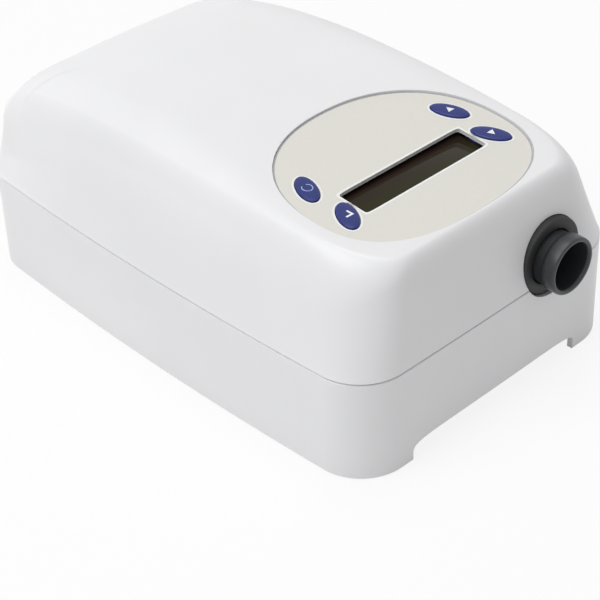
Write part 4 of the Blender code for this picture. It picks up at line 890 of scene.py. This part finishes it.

# %% [markdown]
# ## The key panel
# A thin printed film lies in a shallow egg-shaped recess on the sloping top. It carries the window
# of the display and the four oval keys. The white print and a darker slate line just inside the film's
# edge are modelled as very thin rings on the film.

# %% The film
film_thickness = 0.5 * mm
film_edge = 0.08 * mm
film_steps = 200
film_key_play = 0.25 * mm
film_body = plate(lambda angle: egg_point(angle, 0), film_steps, -film_thickness, 0, Matrix.Identity(4))
rims = [edge for edge in film_body.edges
        if abs(edge.verts[0].co.z - edge.verts[1].co.z) < film_thickness / 2]
bmesh.ops.bevel(film_body, geom=rims, offset=film_edge, segments=2, profile=0.5, affect="EDGES", material=-1)
film_body.transform(panel_place)
film_body = less(film_body, joined(*panel_openings(-2 * overrun, 2 * overrun, film_key_play)))
finish_piece(film_body, "panel_film", "housing", film, "panel_grey", "panel_overlay", smooth=20,
             outward=False)


def printed_ring(inner, outer, steps):
    """A closed flat ring between two outlines. A round one is made first, then its corners are moved."""
    bm = bmesh.new()
    bmesh.ops.create_circle(bm, segments=steps, radius=1)
    edges = bm.edges[:]
    for widen, raised in ((2, 0), (1, 1), (0.5, 0)):
        edges, corners = next_ring(bm, edges)
        bmesh.ops.scale(bm, vec=(widen, widen, 1), verts=corners)
        bmesh.ops.translate(bm, vec=(0, 0, raised), verts=corners)
    bmesh.ops.bridge_loops(bm, edges=[edge for edge in bm.edges if edge.is_boundary])
    for vert in bm.verts:
        angle = math.atan2(vert.co.y, vert.co.x)
        outline = inner if math.hypot(vert.co.x, vert.co.y) < 1.5 else outer
        vert.co = (*outline(angle), ink_high if vert.co.z > 0.5 else ink_low)
    return bm


# A thin ring of darker slate just inside the film's edge.
ink_low = -0.05 * mm
ink_high = 0.04 * mm
edge_line_inner, edge_line_outer = -0.45 * mm, -0.12 * mm
bm = printed_ring(lambda angle: egg_point(angle, edge_line_inner),
                  lambda angle: egg_point(angle, edge_line_outer), panel_steps)
bm.transform(panel_place)
finish_piece(bm, "film_edge_line", "housing", edge_line_slate, "panel_grey")

# %% [markdown]
# ## The display
# Behind the window lies a dark liquid-crystal cell, a little deeper than the film. It is a thin block
# with softened edges. Its own colour is a dark olive; towards the back it is darkened to brown black,
# which is painted shade under the window's rear rim. A white line is printed round the window.

# %% Display glass
display = new_finish("display", (0.030, 0.026, 0.018), 0.10)
tree = display.node_tree
tree.nodes["Principled BSDF"].inputs["Specular IOR Level"].default_value = 0.10
# Painted shade: the colour runs from the cell's olive at the front to brown black at the back, where the
# window's rear rim shades it.
along = on_the_part(tree, place=(0, 57 * mm, 0))
split = tree.nodes.new("ShaderNodeSeparateXYZ")
tree.links.new(along, split.inputs[0])
depth = tree.nodes.new("ShaderNodeMapRange")
depth.inputs["From Min"].default_value = -12 * mm
depth.inputs["From Max"].default_value = 4 * mm
tree.links.new(split.outputs["Y"], depth.inputs["Value"])
tint(display, depth.outputs["Result"], (0.036, 0.034, 0.014), (0.022, 0.013, 0.010), 0.1, 0.9)
glass_size = (2 * window_half_u + 0.8 * mm, 2 * window_half_v + 4 * mm, 1.8 * mm)
glass_edge = 0.2 * mm
glass_middle = -3.6 * mm
bm = bmesh.new()
bmesh.ops.create_cube(bm, size=1)
bmesh.ops.scale(bm, vec=glass_size, verts=bm.verts)
bmesh.ops.bevel(bm, geom=bm.edges[:], offset=glass_edge, segments=2, profile=0.5, affect="EDGES", material=-1)
bmesh.ops.translate(bm, vec=(0, 0, glass_middle), verts=bm.verts)
bm.transform(panel_place)
finish_piece(bm, "display_glass", "housing", display, "glass_dark", "lcd_glass")

# %% White line round the window
window_line_steps = 256
window_line_inner, window_line_outer = 0.15 * mm, 0.85 * mm
bm = printed_ring(lambda angle: window_point(angle, window_line_inner),
                  lambda angle: window_point(angle, window_line_outer), window_line_steps)
bm.transform(panel_place)
finish_piece(bm, "window_line", "housing", ink_white, "panel_grey")

# %% [markdown]
# ## The four keys
# Each key is an oval cap that stands a little proud of the film and is crowned like a lens. A circle
# is stretched to the oval and pulled inwards ring by ring, and each ring is lifted to the crown. The
# sign on it is a thin plate whose corners are lifted to the same crown, so it follows the curve. What
# lies under the film is kept from the frame's solid, which is cut off along the panel's slope.

# %% Key caps
key_stand = 0.9 * mm
key_crown = 0.5 * mm
key_skirt = 1.0 * mm
key_cut = 0.9 * mm
crown_shares = (1, 0.99, 0.97, 0.93, 0.86, 0.75, 0.6, 0.4, 0.2)


def crown_height(share):
    """Height of the cap at a share of the way from its middle to its rim."""
    return key_stand - key_crown + key_crown * math.sqrt(max(1 - share ** 4, 0))


def key_place(name):
    """The panel's frame, moved to the middle of a key."""
    x, y = key_table[name][:2]
    return panel_place @ Matrix.Translation((x, y, 0))


for key in key_table:
    turn = key_table[key][2]
    bm = bmesh.new()
    bmesh.ops.create_circle(bm, segments=key_steps, radius=1)
    edges = bm.edges[:]
    bmesh.ops.translate(bm, vec=(0, 0, -key_skirt), verts=bm.verts)
    for share in crown_shares:
        edges, corners = next_ring(bm, edges)
        for vert in corners:
            reach = math.hypot(vert.co.x, vert.co.y)
            vert.co = (vert.co.x * share / reach, vert.co.y * share / reach, crown_height(share))
    crown = bmesh.ops.contextual_create(bm, geom=edges)["faces"]
    bmesh.ops.poke(bm, faces=crown)
    bmesh.ops.scale(bm, vec=(key_long, key_short, 1), verts=bm.verts)
    bmesh.ops.rotate(bm, cent=(0, 0, 0), matrix=Matrix.Rotation(turn, 3, "Z"), verts=bm.verts)
    bm.transform(key_place(key))
    cad_key = merged_copy("key_" + key)
    cut_point = key_place(key) @ Vector((0, 0, -key_cut))
    cut_normal = panel_place.to_3x3() @ Vector((0, 0, 1))
    bmesh.ops.bisect_plane(cad_key, geom=cad_key.verts[:] + cad_key.edges[:] + cad_key.faces[:],
                           plane_co=cut_point, plane_no=cut_normal, clear_outer=True)
    lower_part = bpy.data.meshes.new("lower_part")
    cad_key.to_mesh(lower_part)
    cad_key.free()
    bm.from_mesh(lower_part)
    bpy.data.meshes.remove(lower_part)
    finish_piece(bm, key + "_cap", key + "_key", key_blue, "key_blue", "key_" + key, outward=False)
print("keys:", list(key_table))

# %% White line round each key
key_line_steps = 72
line_inner, line_outer = 0.32 * mm, 1.0 * mm
for key in key_table:
    turn = key_table[key][2]
    bm = printed_ring(lambda angle: oval_point(angle, key_long + line_inner, key_short + line_inner, turn),
                      lambda angle: oval_point(angle, key_long + line_outer, key_short + line_outer, turn),
                      key_line_steps)
    bm.transform(key_place(key))
    finish_piece(bm, key + "_key_line", "housing", ink_white, "panel_grey")

# %% [markdown]
# ## The signs on the keys
# The signs are the usual ones of such a panel: an open ring for power, a bent stroke for enter and
# two small triangles. Each is a thin plate. The ring and the stroke are chains of short flat bars that
# are given a thickness together.

# %% Signs
sign_thickness = 0.06 * mm
sign_sink = 0.02 * mm
triangle_radius = 1.75 * mm


def lay_on_crown(bm, key):
    """Lifts a flat sign onto the crown of its key."""
    turn = key_table[key][2]
    for vert in bm.verts:
        u = vert.co.x * math.cos(turn) + vert.co.y * math.sin(turn)
        v = vert.co.y * math.cos(turn) - vert.co.x * math.sin(turn)
        share = math.hypot(u / key_long, v / key_short)
        vert.co.z += crown_height(min(share, 1)) - sign_sink
    bm.transform(key_place(key))


def stroke(points, width):
    """A flat stroke of even width along a chain of points, with some thickness."""
    bm = bmesh.new()
    for start, end in zip(points, points[1:]):
        start, end = Vector((*start, 0)), Vector((*end, 0))
        way = (end - start).normalized() * width / 2
        aside = Vector((-way.y, way.x, 0))
        corners = [bm.verts.new(point) for point in (start - way - aside, start - way + aside,
                                                     end + way + aside, end + way - aside)]
        face = bm.faces.new(corners)
        bmesh.ops.subdivide_edges(bm, edges=[face.edges[1], face.edges[3]], cuts=3)
    lift(bm, bmesh.ops.extrude_face_region(bm, geom=bm.faces[:])["geom"], sign_thickness)
    return bm


def arc_points(radius, start, end, steps):
    """Points along an arc, from one angle in degrees to another."""
    places = [math.radians(start + (end - start) * step / steps) for step in range(steps + 1)]
    return [(radius * math.cos(angle), radius * math.sin(angle)) for angle in places]


signs = {
    "power": (arc_points(1.9 * mm, 125, 415, 20), 0.34 * mm, ink_pale_blue),
    "enter": ([(1.1 * mm, 1.3 * mm), (1.3 * mm, -0.9 * mm), (-1.1 * mm, -0.8 * mm)], 0.75 * mm, ink_white),
}
for key, (points, width, ink) in signs.items():
    bm = stroke(points, width)
    lay_on_crown(bm, key)
    finish_piece(bm, key + "_sign", key + "_key", ink, "panel_grey", smooth=20)
for key, turned_by in (("up", 0), ("down", -180)):
    bm = bmesh.new()
    bmesh.ops.create_circle(bm, segments=3, radius=triangle_radius, cap_ends=True,
                            matrix=Matrix.Rotation(math.radians(turned_by), 4, "Z"))
    bmesh.ops.subdivide_edges(bm, edges=bm.edges[:], cuts=2, use_grid_fill=True)
    lift(bm, bmesh.ops.extrude_face_region(bm, geom=bm.faces[:])["geom"], sign_thickness)
    lay_on_crown(bm, key)
    finish_piece(bm, key + "_sign", key + "_key", ink_white, "panel_grey", smooth=20)

# %% [markdown]
# ## The air outlet
# A hose pushes onto a dark grey spigot with the standard 22 mm cone. It is turned: half its section
# is drawn beside the axis and spun once round. Small extra corners at each edge give the moulded
# roundings that catch the light. A black ring closes the gap to the case.

# %% Outlet
tube_low, tube_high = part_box("outlet_tube")


def spun(profile):
    """A closed section of (radius, y) corners, spun once round the outlet's axis."""
    bm = bmesh.new()
    corners = [bm.verts.new((radius, 0, along)) for radius, along in profile]
    edges = [bm.edges.new((first, second)) for first, second in zip(corners, corners[1:] + corners[:1])]
    bmesh.ops.spin(bm, geom=corners + edges, cent=(0, 0, 0), axis=(0, 0, 1), dvec=(0, 0, 0),
                   steps=outlet_steps, angle=math.radians(360), use_merge=True)
    bmesh.ops.rotate(bm, cent=(0, 0, 0), matrix=Matrix.Rotation(math.radians(-90), 3, "X"), verts=bm.verts)
    bmesh.ops.translate(bm, vec=outlet_axis, verts=bm.verts)
    bmesh.ops.remove_doubles(bm, verts=bm.verts, dist=weld_distance)
    bmesh.ops.recalc_face_normals(bm, faces=bm.faces)
    return bm


tip = tube_low.y
spigot_bore = 9.0 * mm
spigot_radius = 11.0 * mm
neck_radius = 10.2 * mm
flange_thickness = 2 * mm
body_section = [(spigot_bore, tube_high.y), (spigot_radius, tube_high.y),
                (spigot_radius, flange_y + flange_thickness), (flange_radius, flange_y + flange_thickness),
                (flange_radius, flange_y), (neck_radius, flange_y)]
lip_section = [(neck_radius, 6.4 * mm), (10.3 * mm, 6.0 * mm), (10.85 * mm, 5.2 * mm),
               (spigot_radius, 4.8 * mm), (spigot_radius, 0.9 * mm), (10.9 * mm, 0.45 * mm),
               (10.65 * mm, 0.12 * mm), (10.3 * mm, 0), (9.7 * mm, 0), (9.45 * mm, 0.15 * mm),
               (9.1 * mm, 0.9 * mm), (spigot_bore, 1.3 * mm)]
bm = spun(body_section + [(radius, tip + behind) for radius, behind in lip_section])
finish_piece(bm, "outlet_spigot", "housing", port_grey, "port_grey", "outlet_tube", smooth=50)
ring_low, ring_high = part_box("outlet_ring")
ring_outer = (ring_high.x - ring_low.x) / 2
ring_inner = 10.5 * mm
ring_round = 0.5 * mm
ring_cut = 0.15 * mm
bm = spun([(ring_inner, ring_high.y), (ring_outer, ring_high.y), (ring_outer, ring_low.y + ring_round),
           (ring_outer - ring_cut, ring_low.y + ring_cut), (ring_outer - ring_round, ring_low.y),
           (ring_inner + ring_round, ring_low.y), (ring_inner + ring_cut, ring_low.y + ring_cut),
           (ring_inner, ring_low.y + ring_round)])
finish_piece(bm, "outlet_rim", "housing", rim_black, "ring_black", "outlet_ring", smooth=50)
print("outlet tip at y", round(tip / mm, 1))

# %% [markdown]
# ## What stays as it is
# Many solids of the frame already have their final form. The round ones only need shared corners
# for soft shading, and every solid gets the finish of what it is made of.

# %% Round inner pieces with soft shading
soft_nodes = {
    "impeller": (wheel_white, "wheel_white", 40), "motor_rotor": (steel, "steel", 35),
    "motor_shaft": (steel, "steel", 35), "motor_can": (steel, "steel", 35),
    "motor_stator": (copper, "copper_wound", 35), "upper_bearing": (steel, "steel", 35),
    "lower_bearing": (steel, "steel", 35), "volute_base": (inner_grey, "inner_plastic", 35),
    "volute_cover": (inner_grey, "inner_plastic", 35), "outlet_sleeve": (rubber, "rubber_black", 60),
    "inlet_bonnet": (inner_grey, "inner_plastic", 35), "inlet_hose": (rubber, "rubber_black", 60),
    "sensor_tube": (clear_tube, "tube_clear", 60), "capacitor": (fitting_black, "chip_black", 35),
    "filter_cover": (case_white, "case_white", 35), "mains_rocker": (fitting_black, "chip_black", 30),
    "mains_socket": (fitting_black, "chip_black", 30), "switch_body": (fitting_black, "chip_black", 30),
    "key_mat": (inner_grey, "inner_plastic", 40),
}
for number in (1, 2, 3, 4):
    soft_nodes["rubber_foot_" + str(number)] = (rubber, "rubber_black", 35)
    soft_nodes["case_screw_" + str(number)] = (steel, "steel", 35)
for number in (1, 2, 3):
    soft_nodes["blower_mount_" + str(number)] = (rubber, "rubber_black", 40)
for number in (1, 2):
    soft_nodes["main_board_screw_" + str(number)] = (steel, "steel", 35)
    soft_nodes["key_board_screw_" + str(number)] = (steel, "steel", 35)
for node, (finish, slot, smooth) in soft_nodes.items():
    smooth_copy(node, finish, slot, smooth)

# %% Finish of every other solid
finish_of_slot = {
    "case_white": case_white, "panel_grey": film, "key_blue": key_blue, "glass_dark": display,
    "port_grey": port_grey, "ring_black": rim_black, "rubber_black": rubber, "foam_grey": foam,
    "steel": steel, "copper_wound": copper, "aluminium": aluminium, "board_green": board_green,
    "chip_black": fitting_black, "inner_plastic": inner_grey, "wheel_white": wheel_white,
    "cream_plastic": cream, "ribbon_white": ribbon_white, "tube_clear": clear_tube,
}
slot_of_node = {part["node"]: part["material_slot"] for part in frame["record"]["subparts"]}
for name, solid in nodes.items():
    solid.data.materials.clear()
    solid.data.materials.append(finish_of_slot[slot_of_node[name]])
print("solids with a finish:", len(nodes))
